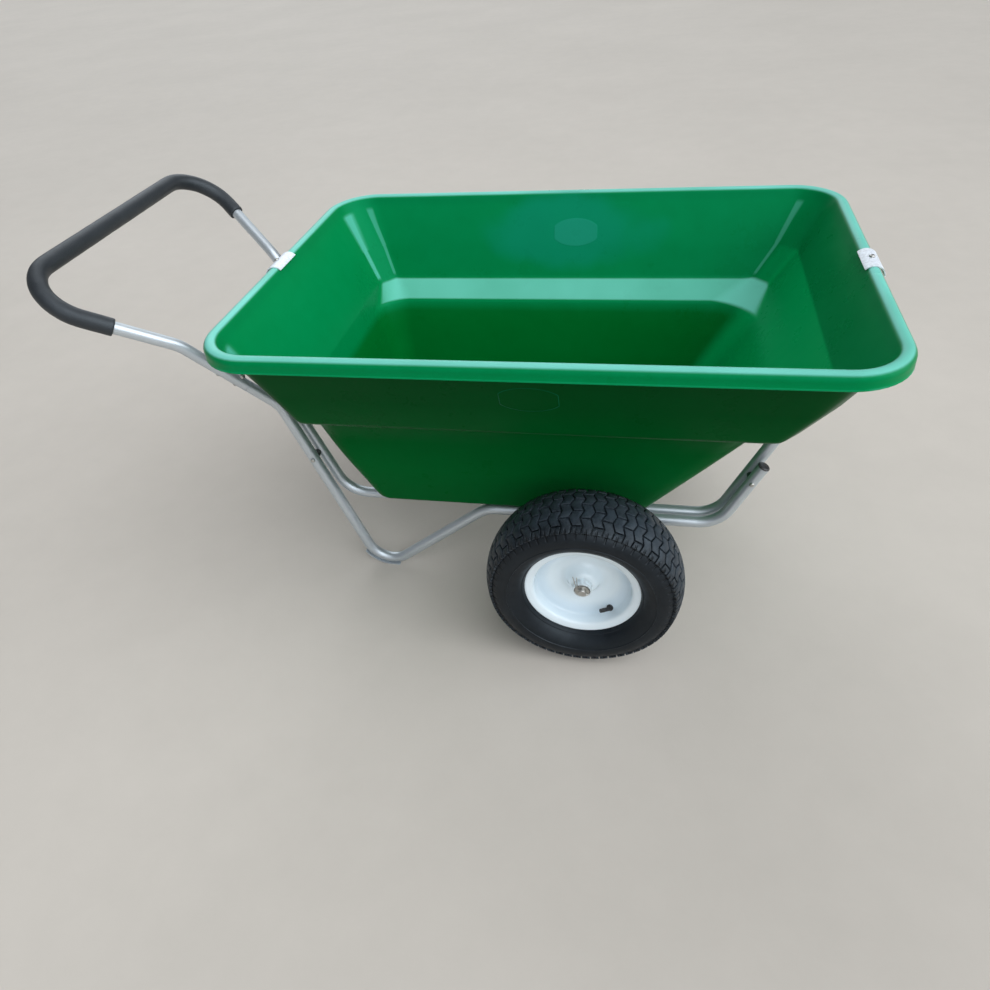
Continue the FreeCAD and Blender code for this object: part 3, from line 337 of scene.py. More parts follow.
def grain_group():
    """Fine moulded or painted texture as a height and a small change in roughness."""
    tree, given, out = new_group(
        "fine_grain",
        [("Scale", "Float", 400.0), ("Roughness", "Float", 0.4), ("Spread", "Float", 0.15)],
        [("Height", "Float"), ("Roughness", "Float")])
    small = noise(tree, given["Vector"], given["Scale"], 3.0, 0.6)
    large = noise(tree, given["Vector"], product(tree, given["Scale"], 0.06), 4.0, 0.6)
    swing = product(tree, maths(tree, "SUBTRACT", large, 0.5),
                    product(tree, given["Spread"], 2.0))
    tree.links.new(small, out["Height"])
    tree.links.new(maths(tree, "ADD", given["Roughness"], swing, clamp=True), out["Roughness"])
    return tree


def edge_group():
    """Wear along edges: a mask that is 1 on convex edges, broken up by noise."""
    tree, given, out = new_group(
        "edge_wear",
        [("Scale", "Float", 60.0), ("Low", "Float", 0.52), ("High", "Float", 0.6)],
        [("Mask", "Float")])
    edge = span(tree, surface(tree, "Pointiness"), given["Low"], given["High"])
    rough = noise(tree, given["Vector"], given["Scale"], 4.0)
    broken = ramp(tree, rough, [(0.4, 0.0), (0.62, 1.0)])
    tree.links.new(maths(tree, "MULTIPLY", edge, broken, clamp=True), out["Mask"])
    return tree


def dust_group():
    """Dust that settles on upward faces, in soft uneven patches."""
    tree, given, out = new_group(
        "settled_dust", [("Scale", "Float", 12.0), ("Amount", "Float", 0.5)],
        [("Mask", "Float")])
    upward = span(tree, split(tree, surface(tree, "Normal"))["Z"], 0.35, 1.0)
    clouds = noise(tree, given["Vector"], given["Scale"], 7.0, 0.62)
    patches = ramp(tree, clouds, [(0.42, 0.0), (0.75, 1.0)])
    mask = maths(tree, "MULTIPLY", product(tree, upward, patches), given["Amount"], clamp=True)
    tree.links.new(mask, out["Mask"])
    return tree


def facing_group():
    """How far a surface turns upwards, and its height above the ground."""
    tree, given, out = new_group(
        "facing_upwards", [("Low", "Float", 0.0), ("High", "Float", 1.0)],
        [("Mask", "Float"), ("Height", "Float")])
    upward = split(tree, surface(tree, "Normal"))["Z"]
    tree.links.new(span(tree, upward, given["Low"], given["High"], smooth=True), out["Mask"])
    tree.links.new(split(tree, given["Vector"])["Z"], out["Height"])
    return tree


def oval_group():
    """A raised oval on one of the tub's long walls, and a soft patch of painted sheen about it.
    """
    tree, given, out = new_group(
        "raised_oval",
        [("Middle", "Float", 0.0), ("Level", "Float", 0.64), ("Side", "Float", 1.0)],
        [("Mask", "Float"), ("Sheen_Patch", "Float")])
    place = split(tree, given["Vector"])
    x = maths(tree, "SUBTRACT", place["X"], given["Middle"])
    z = maths(tree, "SUBTRACT", place["Z"], given["Level"])
    on_side = maths(tree, "GREATER_THAN", product(tree, place["Y"], given["Side"]), OVAL_SIDE)

    def reach(half_width, half_height):
        """1 on the edge of an ellipse, less inside it and more outside."""
        across = maths(tree, "POWER", maths(tree, "DIVIDE", x, half_width), 2.0)
        upright = maths(tree, "POWER", maths(tree, "DIVIDE", z, half_height), 2.0)
        return maths(tree, "ADD", across, upright)

    edge = span(tree, reach(*OVAL_HALF), 1.05, 0.95, smooth=True)
    ends = span(tree, maths(tree, "ABSOLUTE", x), *OVAL_ENDS)
    tree.links.new(product(tree, edge, ends, on_side), out["Mask"])
    cloud = noise(tree, given["Vector"], 7.0)
    wavy = maths(tree, "ADD", reach(*PATCH_HALF),
                 product(tree, maths(tree, "SUBTRACT", cloud, 0.5), 1.6))
    sheen_patch = span(tree, wavy, 1.25, 0.35, smooth=True)
    tree.links.new(product(tree, sheen_patch, on_side), out["Sheen_Patch"])
    return tree


FACING = facing_group()
OVAL = oval_group()
MOTTLE = mottle_group()
GRAIN = grain_group()
EDGE = edge_group()
DUST = dust_group()


class Finish:
    """A surface finish: one Principled shader fed by the shared groups."""

    def __init__(self, name):
        self.material = bpy.data.materials.new(name)
        self.material.use_nodes = True
        self.tree = self.material.node_tree
        self.tree.nodes.clear()
        self.shader = self.tree.nodes.new("ShaderNodeBsdfPrincipled")
        output = self.tree.nodes.new("ShaderNodeOutputMaterial")
        self.tree.links.new(self.shader.outputs["BSDF"], output.inputs["Surface"])
        self.place = self.tree.nodes.new("ShaderNodeTexCoord").outputs["Object"]

    def stretched(self, x, y, z):
        return add(self.tree, "Mapping", {"Vector": self.place, "Scale": (x, y, z)}).outputs[0]

    def use(self, group, **values):
        node = add(self.tree, "Group", node_tree=group)
        for name, value in dict(values, Vector=self.place).items():
            feed(self.tree, node.inputs[name], value)
        return node.outputs

    def spots(self, scale, detail, roughness, low, high):
        """Scattered spots, between two levels of a noise."""
        cloud = noise(self.tree, self.place, scale, detail, roughness)
        return ramp(self.tree, cloud, [(low, 0.0), (high, 1.0)])

    def give(self, **values):
        for name, value in values.items():
            feed(self.tree, self.shader.inputs[name.replace("_", " ")], value)

    def bump(self, height, strength, distance, under=None):
        sources = {"Height": height, "Strength": strength, "Distance": distance}
        if under is not None:
            sources["Normal"] = under
        return add(self.tree, "Bump", sources).outputs["Normal"]

    def grain(self, scale, roughness, spread, strength, distance=0.0002, under=None):
        """Give the whole piece a fine grain: its roughness and its bumps."""
        fine = self.use(GRAIN, Scale=scale, Roughness=roughness, Spread=spread)
        normal = self.bump(fine["Height"], strength, distance, under)
        self.give(Roughness=fine["Roughness"], Normal=normal)
        return normal

    def from_axle(self):
        """The offset from the axle across it, and its length."""
        offset = add(self.tree, "VectorMath", {0: self.place, 1: tuple(AXLE)},
                     operation="SUBTRACT")
        flat = add(self.tree, "VectorMath", {0: offset.outputs[0], 1: (1.0, 0.0, 1.0)},
                   operation="MULTIPLY").outputs[0]
        return flat, add(self.tree, "VectorMath", {0: flat}, operation="LENGTH").outputs["Value"]


# ---------------------------------------------------------------- finishes

def scuff_marks(finish):
    """Long downward scuffs and a few across, in patches."""
    tree = finish.tree
    down = noise(tree, finish.stretched(1.0, 1.0, 0.09), 95.0, 6.0, 0.65)
    scuffs = ramp(tree, down, [(0.56, 0.0), (0.66, 0.55), (0.8, 1.0)])
    across = noise(tree, finish.stretched(0.07, 0.07, 1.0), 120.0, 5.0, 0.6)
    rubs = ramp(tree, across, [(0.64, 0.0), (0.74, 1.0)])
    patches = finish.spots(7.0, 3.0, 0.5, low=0.42, high=0.62)
    return product(tree, maths(tree, "ADD", scuffs, rubs, clamp=True), patches)


def painted_sheen_areas(finish, upward):
    """Painted sheen: the ledge and the round top of the rim are painted pale, unevenly."""
    tree = finish.tree
    ledges = product(tree, upward["Mask"], span(tree, upward["Height"], *LEDGE_FADE))
    rounded = finish.use(FACING, Low=0.57, High=0.97)["Mask"]
    crown = product(tree, rounded, span(tree, upward["Height"], *RIM_FADE))
    fade = noise(tree, finish.place, 3.5, 3.0)
    return product(tree, maths(tree, "MAXIMUM", ledges, crown),
                   ramp(tree, fade, [(0.3, 0.72), (0.7, 1.0)]))


def painted_chute_light(tree, colour, normal, height):
    """Painted light: the sloping chute at the front is painted a brighter green."""
    turned_back = span(tree, normal["X"], -0.45, -0.70, smooth=True)
    sloping = span(tree, normal["Z"], 0.50, 0.575, smooth=True)
    chute = product(tree, turned_back, sloping)
    return blend(tree, product(tree, chute, span(tree, height, *CHUTE_FADE, 0.0, 0.8)), colour,
                 (0.0, 0.38, 0.105))


def painted_corner_highlights(tree, colour, normal, height, inside):
    """Painted highlights: pale lines along the eased edges of the corner facets."""
    swing = maths(tree, "ARCTAN2", maths(tree, "ABSOLUTE", normal["Y"]),
                  maths(tree, "ABSOLUTE", normal["X"]))
    walls = ramp(tree, height, list(zip(WALL_LINES, (0.0, 1.0, 1.0, 0.0))))
    at_rear = maths(tree, "GREATER_THAN", normal["X"], 0.0)
    # by the end walls, at the rear alone, and by the long walls: the direction of the
    # middle of each pale line, how far it reaches to both sides, and how pale it is
    for middle, reach, pale, ends in ((0.39, 0.34, 0.78, at_rear), (1.18, 0.19, 0.46, 1.0)):
        off = maths(tree, "ABSOLUTE", maths(tree, "SUBTRACT", swing, middle))
        line = span(tree, off, reach, reach * 0.4, 0.0, pale, smooth=True)
        lit = product(tree, product(tree, line, ends), product(tree, walls, inside))
        colour = blend(tree, lit, colour, (0.10, 0.50, 0.37))
    return colour


def tub_plastic():
    """Green moulded plastic: semi-gloss, lightly scuffed, a little dust on its ledges, with
    painted sheen, highlights and shade.
    """
    finish = Finish("tub_green_plastic")
    tree = finish.tree
    base = finish.use(MOTTLE, Scale=2.2, Base=(0.0, 0.212, 0.056), Worn=(0.0, 0.245, 0.072),
                      Amount=0.8)
    colour = blend(tree, product(tree, scuff_marks(finish), 0.16), base["Color"],
                   (0.004, 0.30, 0.13))
    dust = finish.use(DUST, Scale=14.0, Amount=0.12)
    colour = blend(tree, dust["Mask"], colour, (0.03, 0.30, 0.18))
    wear = finish.use(EDGE, Scale=80.0, Low=0.51, High=0.6)
    inside = finish.use(FACING, Low=-0.22, High=0.02)["Mask"]
    colour = blend(tree, product(tree, wear["Mask"], inside, 0.2), colour, (0.01, 0.36, 0.20))
    upward = finish.use(FACING, Low=0.62, High=0.88)
    height = upward["Height"]
    # painted sheen on the ledge and on the rim's top
    colour = blend(tree, painted_sheen_areas(finish, upward), colour, (0.21, 0.72, 0.60))
    # thin pale flash along the foot of the rim's lip
    upright = finish.use(FACING, Low=0.30, High=0.20)["Mask"]
    flash = product(tree, span(tree, height, *FLASH_FADE),
                    maths(tree, "GREATER_THAN", height, FLASH_FOOT), upright)
    colour = blend(tree, flash, colour, (0.04, 0.62, 0.38))
    # painted shade: the downward-facing outside is darkened, the well is darkened to a deeper
    # green, and the rim's top is a little darker
    outer = ramp(tree, height, [(OUTSIDE_SHADE[0], (0.4, 0.53, 0.34)),
                                (OUTSIDE_SHADE[1], (0.5, 0.27, 0.15))])
    inner = ramp(tree, height, [(WELL_SHADE[0], (1.0, 0.64, 0.34)), (WELL_SHADE[1], 1.0),
                                (RIM_TINT[0], 1.0), (RIM_TINT[1], (1.0, 0.93, 0.95))])
    colour = blend(tree, 1.0, colour, blend(tree, inside, outer, inner), "MULTIPLY")
    normal = split(tree, surface(tree, "Normal"))
    # painted light on the sloping chute
    colour = painted_chute_light(tree, colour, normal, height)
    # painted highlights along the corner facets' eased edges
    colour = painted_corner_highlights(tree, colour, normal, height, inside)
    # a plain raised oval high on each long wall: outside on the right one, and inside on
    # the left one, where a bluish patch of painted sheen lies about it
    near = finish.use(OVAL, Middle=AXLE.x - 0.092, Level=0.638, Side=-1.0)
    far = finish.use(OVAL, Middle=AXLE.x - 0.087, Level=0.647, Side=1.0)
    plate = product(tree, far["Mask"], inside)
    sheen_patch = product(tree, far["Sheen_Patch"], inside)
    outline = product(tree, near["Mask"], maths(tree, "SUBTRACT", 1.0, inside))
    ring = product(tree, outline, maths(tree, "SUBTRACT", 1.0, outline))
    colour = blend(tree, product(tree, plate, 0.6), colour, (0.03, 0.34, 0.24))
    colour = blend(tree, maths(tree, "MULTIPLY", ring, 2.4, clamp=True), colour,
                   (0.01, 0.16, 0.09))
    # painted sheen about the left oval
    colour = blend(tree, product(tree, sheen_patch, 0.55), colour, (0.004, 0.26, 0.155))
    ovals = maths(tree, "MAXIMUM", product(tree, plate, 0.4), outline)
    grain = finish.use(GRAIN, Scale=520.0)["Height"]
    fine = finish.bump(ovals, 0.8, 0.0009, finish.bump(grain, 0.02, 0.0002))
    wavy = finish.bump(noise(tree, finish.place, 9.0), 0.10, 0.02, fine)
    shine = span(tree, inside, 0.0, 1.0, 0.03, 0.13)
    matt_well = ramp(tree, height, [(LEDGE_FADE[0], 0.2), (LEDGE_FADE[1], 1.0)])
    rough = maths(tree, "ADD", product(tree, base["Mask"], 0.08), 0.27, clamp=True)
    finish.give(Base_Color=colour, Roughness=rough, Normal=wavy, IOR=1.55,
                Specular_IOR_Level=product(tree, shine, matt_well),
                Specular_Tint=(0.12, 1.0, 0.85))
    return finish.material


def frame_paint():
    """Smooth silver-grey powder paint on the steel tubes."""
    finish = Finish("frame_grey_paint")
    tree = finish.tree
    base = finish.use(MOTTLE, Scale=9.0, Base=(0.56, 0.61, 0.65), Worn=(0.62, 0.67, 0.71),
                      Amount=0.6)
    chips = finish.spots(170.0, 4.0, 0.6, low=0.74, high=0.78)
    chipped = blend(tree, product(tree, chips, 0.4), base["Color"], (0.20, 0.19, 0.18))
    dust = finish.use(DUST, Scale=40.0, Amount=0.12)
    finish.grain(scale=900.0, roughness=0.38, spread=0.05, strength=0.06, distance=0.0003)
    finish.give(Base_Color=blend(tree, dust["Mask"], chipped, (0.45, 0.43, 0.40)), Metallic=0.68)
    return finish.material


def clip_plate():
    """Pale galvanised sheet of the rim clips."""
    finish = Finish("pale_galvanised_sheet")
    tree = finish.tree
    spangle = add(tree, "TexVoronoi", {"Vector": finish.place, "Scale": 240.0})
    flakes = ramp(tree, spangle.outputs["Distance"], [(0.1, (0.80, 0.86, 0.94)),
                                                      (0.7, (0.88, 0.93, 0.99))])
    wear = finish.use(EDGE, Scale=200.0, Low=0.52, High=0.62)
    colour = blend(tree, product(tree, wear["Mask"], 0.4), flakes, (0.50, 0.52, 0.54))
    finish.grain(scale=1500.0, roughness=0.42, spread=0.12, strength=0.1)
    finish.give(Base_Color=colour, Metallic=0.1)
    return finish.material


def zinc_steel():
    """Bright zinc plating with dull patches and fine turning marks."""
    finish = Finish("zinc_plated_steel")
    tree = finish.tree
    base = finish.use(MOTTLE, Scale=60.0, Base=(0.58, 0.58, 0.56), Worn=(0.40, 0.39, 0.36),
                      Amount=0.7)
    stains = finish.spots(210.0, 5.0, 0.7, low=0.62, high=0.72)
    colour = blend(tree, product(tree, stains, 0.5), base["Color"], (0.20, 0.12, 0.07))
    finish.grain(scale=2200.0, roughness=0.34, spread=0.2, strength=0.15)
    finish.give(Base_Color=colour, Metallic=ramp(tree, stains, [(0.0, 0.95), (1.0, 0.4)]))
    return finish.material


def foam():
    """Closed-cell foam sleeve: charcoal, matt, with a fine pebbled skin."""
    finish = Finish("charcoal_foam")
    tree = finish.tree
    base = finish.use(MOTTLE, Scale=26.0, Base=(0.008, 0.010, 0.013), Worn=(0.016, 0.019, 0.023),
                      Amount=0.9)
    cells = add(tree, "TexVoronoi", {"Vector": finish.place, "Scale": 620.0})
    pits = ramp(tree, cells.outputs["Distance"], [(0.05, 0.0), (0.55, 1.0)])
    pitted = blend(tree, 0.20, base["Color"], blend(tree, pits, (0.012, 0.013, 0.015),
                                                    (0.075, 0.080, 0.086)))
    dust = finish.use(DUST, Scale=50.0, Amount=0.15)
    finish.grain(scale=260.0, roughness=0.43, spread=0.08, strength=0.25, distance=0.0012,
                 under=finish.bump(pits, 0.35, 0.0005))
    finish.give(Base_Color=blend(tree, dust["Mask"], pitted, (0.12, 0.13, 0.14)),
                Specular_Tint=(0.85, 0.94, 1.0))
    return finish.material


def shoulder_cuts(finish, flat, radius):
    """Short cuts across the tyre's shoulder, one under each gap between the outer lugs."""
    tree = finish.tree
    apart = split(tree, flat)
    turn = maths(tree, "ARCTAN2", apart["Z"], apart["X"])
    step = maths(tree, "FRACT", product(tree, turn, LUGS_ROUND / (2 * math.pi)))
    narrow = span(tree, maths(tree, "ABSOLUTE", maths(tree, "SUBTRACT", step, 0.5)), 0.14, 0.07)
    band = ramp(tree, radius, list(zip(CUT_BAND, (0.0, 1.0, 1.0, 0.0))))
    return product(tree, narrow, band)


def tyre_rubber():
    """Black rubber; the lugs' tops are scuffed to a bluish grey, the grooves dusty."""
    finish = Finish("tyre_rubber")
    tree = finish.tree
    base = finish.use(MOTTLE, Scale=16.0, Base=(0.003, 0.004, 0.006), Worn=(0.008, 0.011, 0.015),
                      Amount=0.9)
    # distance from the axle tells the lugs' tops from the sidewall
    flat, radius = finish.from_axle()
    tops = span(tree, radius, *LUG_RISE)
    rub = noise(tree, finish.place, 55.0, 6.0, 0.65)
    rubbed = ramp(tree, rub, [(0.34, 0.35), (0.66, 1.0)])
    colour = blend(tree, maths(tree, "MULTIPLY", tops, rubbed, clamp=True), base["Color"],
                   (0.034, 0.047, 0.062))
    dust = finish.use(DUST, Scale=30.0, Amount=0.2)
    colour = blend(tree, dust["Mask"], colour, (0.08, 0.09, 0.10))
    wear = finish.use(EDGE, Scale=240.0, Low=0.52, High=0.62)
    colour = blend(tree, product(tree, wear["Mask"], 0.5), colour, (0.07, 0.085, 0.10))
    cuts = shoulder_cuts(finish, flat, radius)
    finish.grain(scale=700.0, roughness=0.47, spread=0.2, strength=0.12, distance=0.0004,
                 under=finish.bump(maths(tree, "SUBTRACT", 1.0, cuts), 1.0, 0.003))
    # the shoulder cuts are painted near black, as painted shade in them
    finish.give(Base_Color=blend(tree, product(tree, cuts, 0.85), colour, (0.001, 0.001, 0.002)),
                Specular_IOR_Level=0.34, Specular_Tint=(0.80, 0.92, 1.0))
    return finish.material


def rim_paint():
    """Gloss white enamel on the pressed wheel, with a little road dirt and painted shade in its
    drop.
    """
    finish = Finish("rim_white_enamel")
    tree = finish.tree
    base = finish.use(MOTTLE, Scale=14.0, Base=(0.83, 0.93, 0.98), Worn=(0.79, 0.90, 0.955),
                      Amount=0.6)
    # painted shade: a darker, bluish ring lies in the drop between the flange and the bowl
    radius = finish.from_axle()[1]
    painted_drop_shade = ramp(tree, radius, list(zip(DROP_SHADE_RADII, (
        1.0, (0.86, 0.90, 0.94), (0.78, 0.84, 0.89), 1.0))))
    colour = blend(tree, 1.0, base["Color"], painted_drop_shade, "MULTIPLY")
    specks = finish.spots(85.0, 8.0, 0.7, low=0.66, high=0.78)
    colour = blend(tree, product(tree, specks, 0.25), colour, (0.33, 0.32, 0.30))
    wear = finish.use(EDGE, Scale=150.0, Low=0.53, High=0.64)
    colour = blend(tree, product(tree, wear["Mask"], 0.3), colour, (0.35, 0.34, 0.33))
    fine = finish.grain(scale=800.0, roughness=0.20, spread=0.10, strength=0.06)
    finish.give(Base_Color=colour, Coat_Weight=0.3, Coat_Roughness=0.1,
                Normal=finish.bump(noise(tree, finish.place, 35.0), 0.08, 0.004, fine))
    return finish.material


def black_plastic():
    """Black moulded plastic, satin, scuffed on its edges."""
    finish = Finish("black_plastic")
    base = finish.use(MOTTLE, Scale=60.0, Base=(0.012, 0.012, 0.013), Worn=(0.032, 0.032, 0.034),
                      Amount=0.9)
    wear = finish.use(EDGE, Scale=300.0, Low=0.52, High=0.6)
    finish.grain(scale=1200.0, roughness=0.42, spread=0.2, strength=0.2)
    finish.give(Base_Color=blend(finish.tree, wear["Mask"], base["Color"], (0.12, 0.12, 0.12)))
    return finish.material


def mottled(name, mottle, grain, metallic=0.0):
    """A plain finish of mottled colour with a fine grain."""
    finish = Finish(name)
    finish.grain(**grain)
    finish.give(Base_Color=finish.use(MOTTLE, **mottle)["Color"], Metallic=metallic)
    return finish.material


def bearing_steel():
    """Oiled grey sintered steel."""
    return mottled(
        "oiled_bearing_steel",
        dict(Scale=140.0, Base=(0.10, 0.095, 0.09), Worn=(0.24, 0.23, 0.21), Amount=0.8),
        dict(scale=1800.0, roughness=0.42, spread=0.2, strength=0.2), metallic=0.85)


def valve_rubber():
    """Black rubber of the valve stems."""
    return mottled(
        "valve_rubber",
        dict(Scale=150.0, Base=(0.010, 0.010, 0.011), Worn=(0.030, 0.030, 0.032), Amount=0.9),
        dict(scale=1500.0, roughness=0.6, spread=0.2, strength=0.25))


FINISHES = {make.__name__: make() for make in (
    tub_plastic, frame_paint, zinc_steel, foam, tyre_rubber, rim_paint, black_plastic,
    bearing_steel, valve_rubber)}
CLIP_PLATE = clip_plate()


def dress_cad_nodes():
    """Every node carried over from the solids gets the finish of its slot."""
    for part in frame["record"]["subparts"]:
        obj = bpy.data.objects[part["node"]]
        finish = FINISHES[part["material_slot"]]
        if part["node"] in ("front_rim_clip", "rear_rim_clip"):
            finish = CLIP_PLATE
        if not obj.material_slots:
            obj.data.materials.append(finish)
        for slot in obj.material_slots:
            slot.material = finish


dress_cad_nodes()


# ---------------------------------------------------------------- the tub

def rim_section(inset, level):
    """Plan of the rim at a distance in from its outer edge."""
    return tuple(size - inset for size in RIM[:5]) + (level,)


def edge_x(section, side):
    return AXLE.x + section[1] if side > 0 else AXLE.x - section[0]


def raise_wall(obj, old, new):
    """Extrude the open edge of the tub and reshape it into the next level's plan."""
    bpy.ops.mesh.extrude_region_move(TRANSFORM_OT_translate={"value": (0, 0, new[5] - old[5])})
    ring = {vert.index for vert in bmesh.from_edit_mesh(obj.data).verts if vert.select}
    middle = AXLE.x + (old[1] - old[0]) / 2
    for side_x in (-1, 1):
        scale = new[3 + (side_x > 0)] / old[3 + (side_x > 0)]
        for side_y in (-1, 1):
            choose(obj, lambda vert: vert.index in ring and (vert.co.x - middle) * side_x > 0
                   and vert.co.y * side_y > 0)
            bpy.ops.transform.translate(value=(edge_x(new, side_x) - edge_x(old, side_x),
                                               side_y * (new[2] - old[2]), 0))
            bpy.ops.transform.resize(value=(scale, scale, 1), center_override=(
                edge_x(new, side_x), side_y * new[2], new[5]))
    choose(obj, lambda vert: vert.index in ring)


def facet_corners(obj, section, easing):
    """Flatten the four rounded corners of one ring into a facet with eased edges."""
    edit(obj)
    half_turn = math.pi / 4
    for side_x in (-1, 1):
        radius = section[3 + (side_x > 0)]
        leg = radius * (2 - math.sqrt(2))
        flat = leg * math.sqrt(2) - 2 * easing * math.tan(half_turn / 2)
        start = radius - leg - easing * math.tan(half_turn / 2)
        whole = 2 * start + 2 * easing * half_turn + flat
        for side_y in (-1, 1):
            corner = (edge_x(section, side_x), side_y * section[2])
            ring = {}
            for vert in bmesh.from_edit_mesh(obj.data).verts:
                across = (corner[0] - vert.co.x) * side_x
                along = (corner[1] - vert.co.y) * side_y
                if (abs(vert.co.z - section[5]) < NEAR and across < radius + NEAR
                        and along < radius + NEAR):
                    ring[vert.index] = (across, along)
            for index, (across, along) in ring.items():
                share = math.atan2(radius - along, radius - across) / (math.pi / 2)
                run = share * whole
                new = facet_point(run, radius, start, easing, flat)
                choose(obj, lambda vert: vert.index == index)
                bpy.ops.transform.translate(value=(
                    (across - new[0]) * side_x, (along - new[1]) * side_y, 0))
    leave()


def facet_point(run, radius, start, easing, flat):
    """Distances in from the two walls after a run round an eased corner facet."""
    across, along, turn = 0.0, radius, 0.0
    for length, bend in ((start, 0.0), (easing * math.pi / 4, 1 / easing), (flat, 0.0),
                         (easing * math.pi / 4, 1 / easing), (start, 0.0)):
        step = min(run, length) / 20
        for _ in range(20):
            turn += bend * step / 2
            across += math.sin(turn) * step
            along -= math.cos(turn) * step
            turn += bend * step / 2
        run -= min(run, length)
    return across, along


def fold(obj, level, width, segments):
    """Ease the fold that runs round the tub at one level."""
    edit(obj, "EDGE")
    choose(obj, lambda edge: all(abs(vert.co.z - level) < NEAR for vert in edge.verts), "edges")
    bpy.ops.mesh.bevel(offset=width, segments=segments, affect="EDGES", offset_type="OFFSET")
    leave()


def make_tub():
    """The tub, raised level by level from its floor, then folded, thickened and smoothed."""
    deselect()
    bpy.ops.mesh.primitive_plane_add(size=1, location=(
        AXLE.x + (FLOOR[1] - FLOOR[0]) / 2, 0, FLOOR[5]))
    bpy.context.object.scale = (FLOOR[0] + FLOOR[1], FLOOR[2] * 2, 1)
    obj = new_piece("moulded_tub")
    edit(obj)
    for side, radius in ((-1, FLOOR[3]), (1, FLOOR[4])):
        choose(obj, lambda vert: abs(vert.co.x - edge_x(FLOOR, side)) < NEAR)
        bpy.ops.mesh.bevel(offset=radius, segments=12, affect="VERTICES")
    bpy.ops.mesh.select_all(action="SELECT")
    bpy.ops.mesh.delete(type="ONLY_FACE")
    bpy.ops.mesh.select_all(action="SELECT")
    sections = [FLOOR, WAIST, LEDGE_INNER, LEDGE_OUTER, CREASE]
    centre = RIM[5] - BEAD_RADIUS
    for angle in BEAD_ANGLES:
        turn = math.radians(angle)
        sections.append(rim_section(BEAD_RADIUS * (1 - math.cos(turn)),
                                    centre + BEAD_RADIUS * math.sin(turn)))
    sections += [rim_section(inset, LIP_FOOT + rise) for inset, rise in LIP_HEM]
    for old, new in zip(sections, sections[1:]):
        raise_wall(obj, old, new)
    choose(obj, lambda vert: abs(vert.co.z - FLOOR[5]) < NEAR)
    bpy.ops.mesh.edge_face_add()
    leave()
    for section, easing in FACETS:
        facet_corners(obj, section, easing)
    for section, width, segments in FOLDS:
        fold(obj, section[5], width, segments)
    close_up(obj)
    apply_modifier(obj, "SOLIDIFY", thickness=TUB_WALL, offset=-1.0, use_even_offset=True)
    smooth(obj, 40)
    dress(obj, FINISHES["tub_plastic"])
    return obj


# ---------------------------------------------------------------- wheels

# the tread's curve across the tyre, its radius round the axle, the lugs' height, length
# and width, their slant, the groove between them, and the easing of their edges
CROWN_RADIUS = 0.1275
TREAD_BASE = 0.1982
TREAD_DEPTH = 0.0050
TREAD_PITCH = 2 * math.pi * TREAD_BASE / LUGS_ROUND
TREAD_COLUMN = 0.0165
ZIGZAG = 0.0036
GROOVE = 0.0031
LUG_EASING = 0.0007
# thickness of the wheel's pressing
RIM_SHEET = 0.0024


def mirrored_profile(half):
    """A closed section from its outer half."""
    return half + [(-out, radius) for out, radius in reversed(half)]


def crown_radius(out):
    """Radius of the tread's base at a distance from the tyre's middle."""
    return TREAD_BASE - CROWN_RADIUS + math.sqrt(CROWN_RADIUS ** 2 - out ** 2)


def make_carcass():
    """The tyre under its tread: crown, shoulders, sidewalls, beads and the hollow inside."""
    outside = [(out / 1000, crown_radius(out / 1000)) for out in (5, 15, 25, 35, 44, 52, 58)]
    outside += [(0.0622, 0.1812), (0.0652, 0.1772), (0.0676, 0.1724), (0.0692, 0.1672),
                (0.0699, 0.1620), (0.0699, 0.1568), (0.0694, 0.1525), (0.0702, 0.1517),
                (0.0702, 0.1503), (0.0688, 0.1494), (0.0676, 0.1452), (0.0655, 0.1406),
                (0.0625, 0.1358), (0.0585, 0.1310), (0.0540, 0.1268), (0.0498, 0.1240),
                (0.0492, 0.1226), (0.0474, 0.1211), (0.0448, 0.1200), (0.0425, 0.1190),
                (0.0384, 0.1172), (0.0382, 0.1074), (0.0338, 0.1018), (0.0236, 0.1018),
                (0.0246, 0.1098), (0.0340, 0.1200), (0.0560, 0.1400), (0.0630, 0.1600),
                (0.0560, 0.1780), (0.0100, 0.1900)]
    ring = mirrored_profile(outside)
    ring.append(ring[0])
    obj = turned("tyre_carcass", ring, segments=144)
    smooth(obj, 28)
    return obj


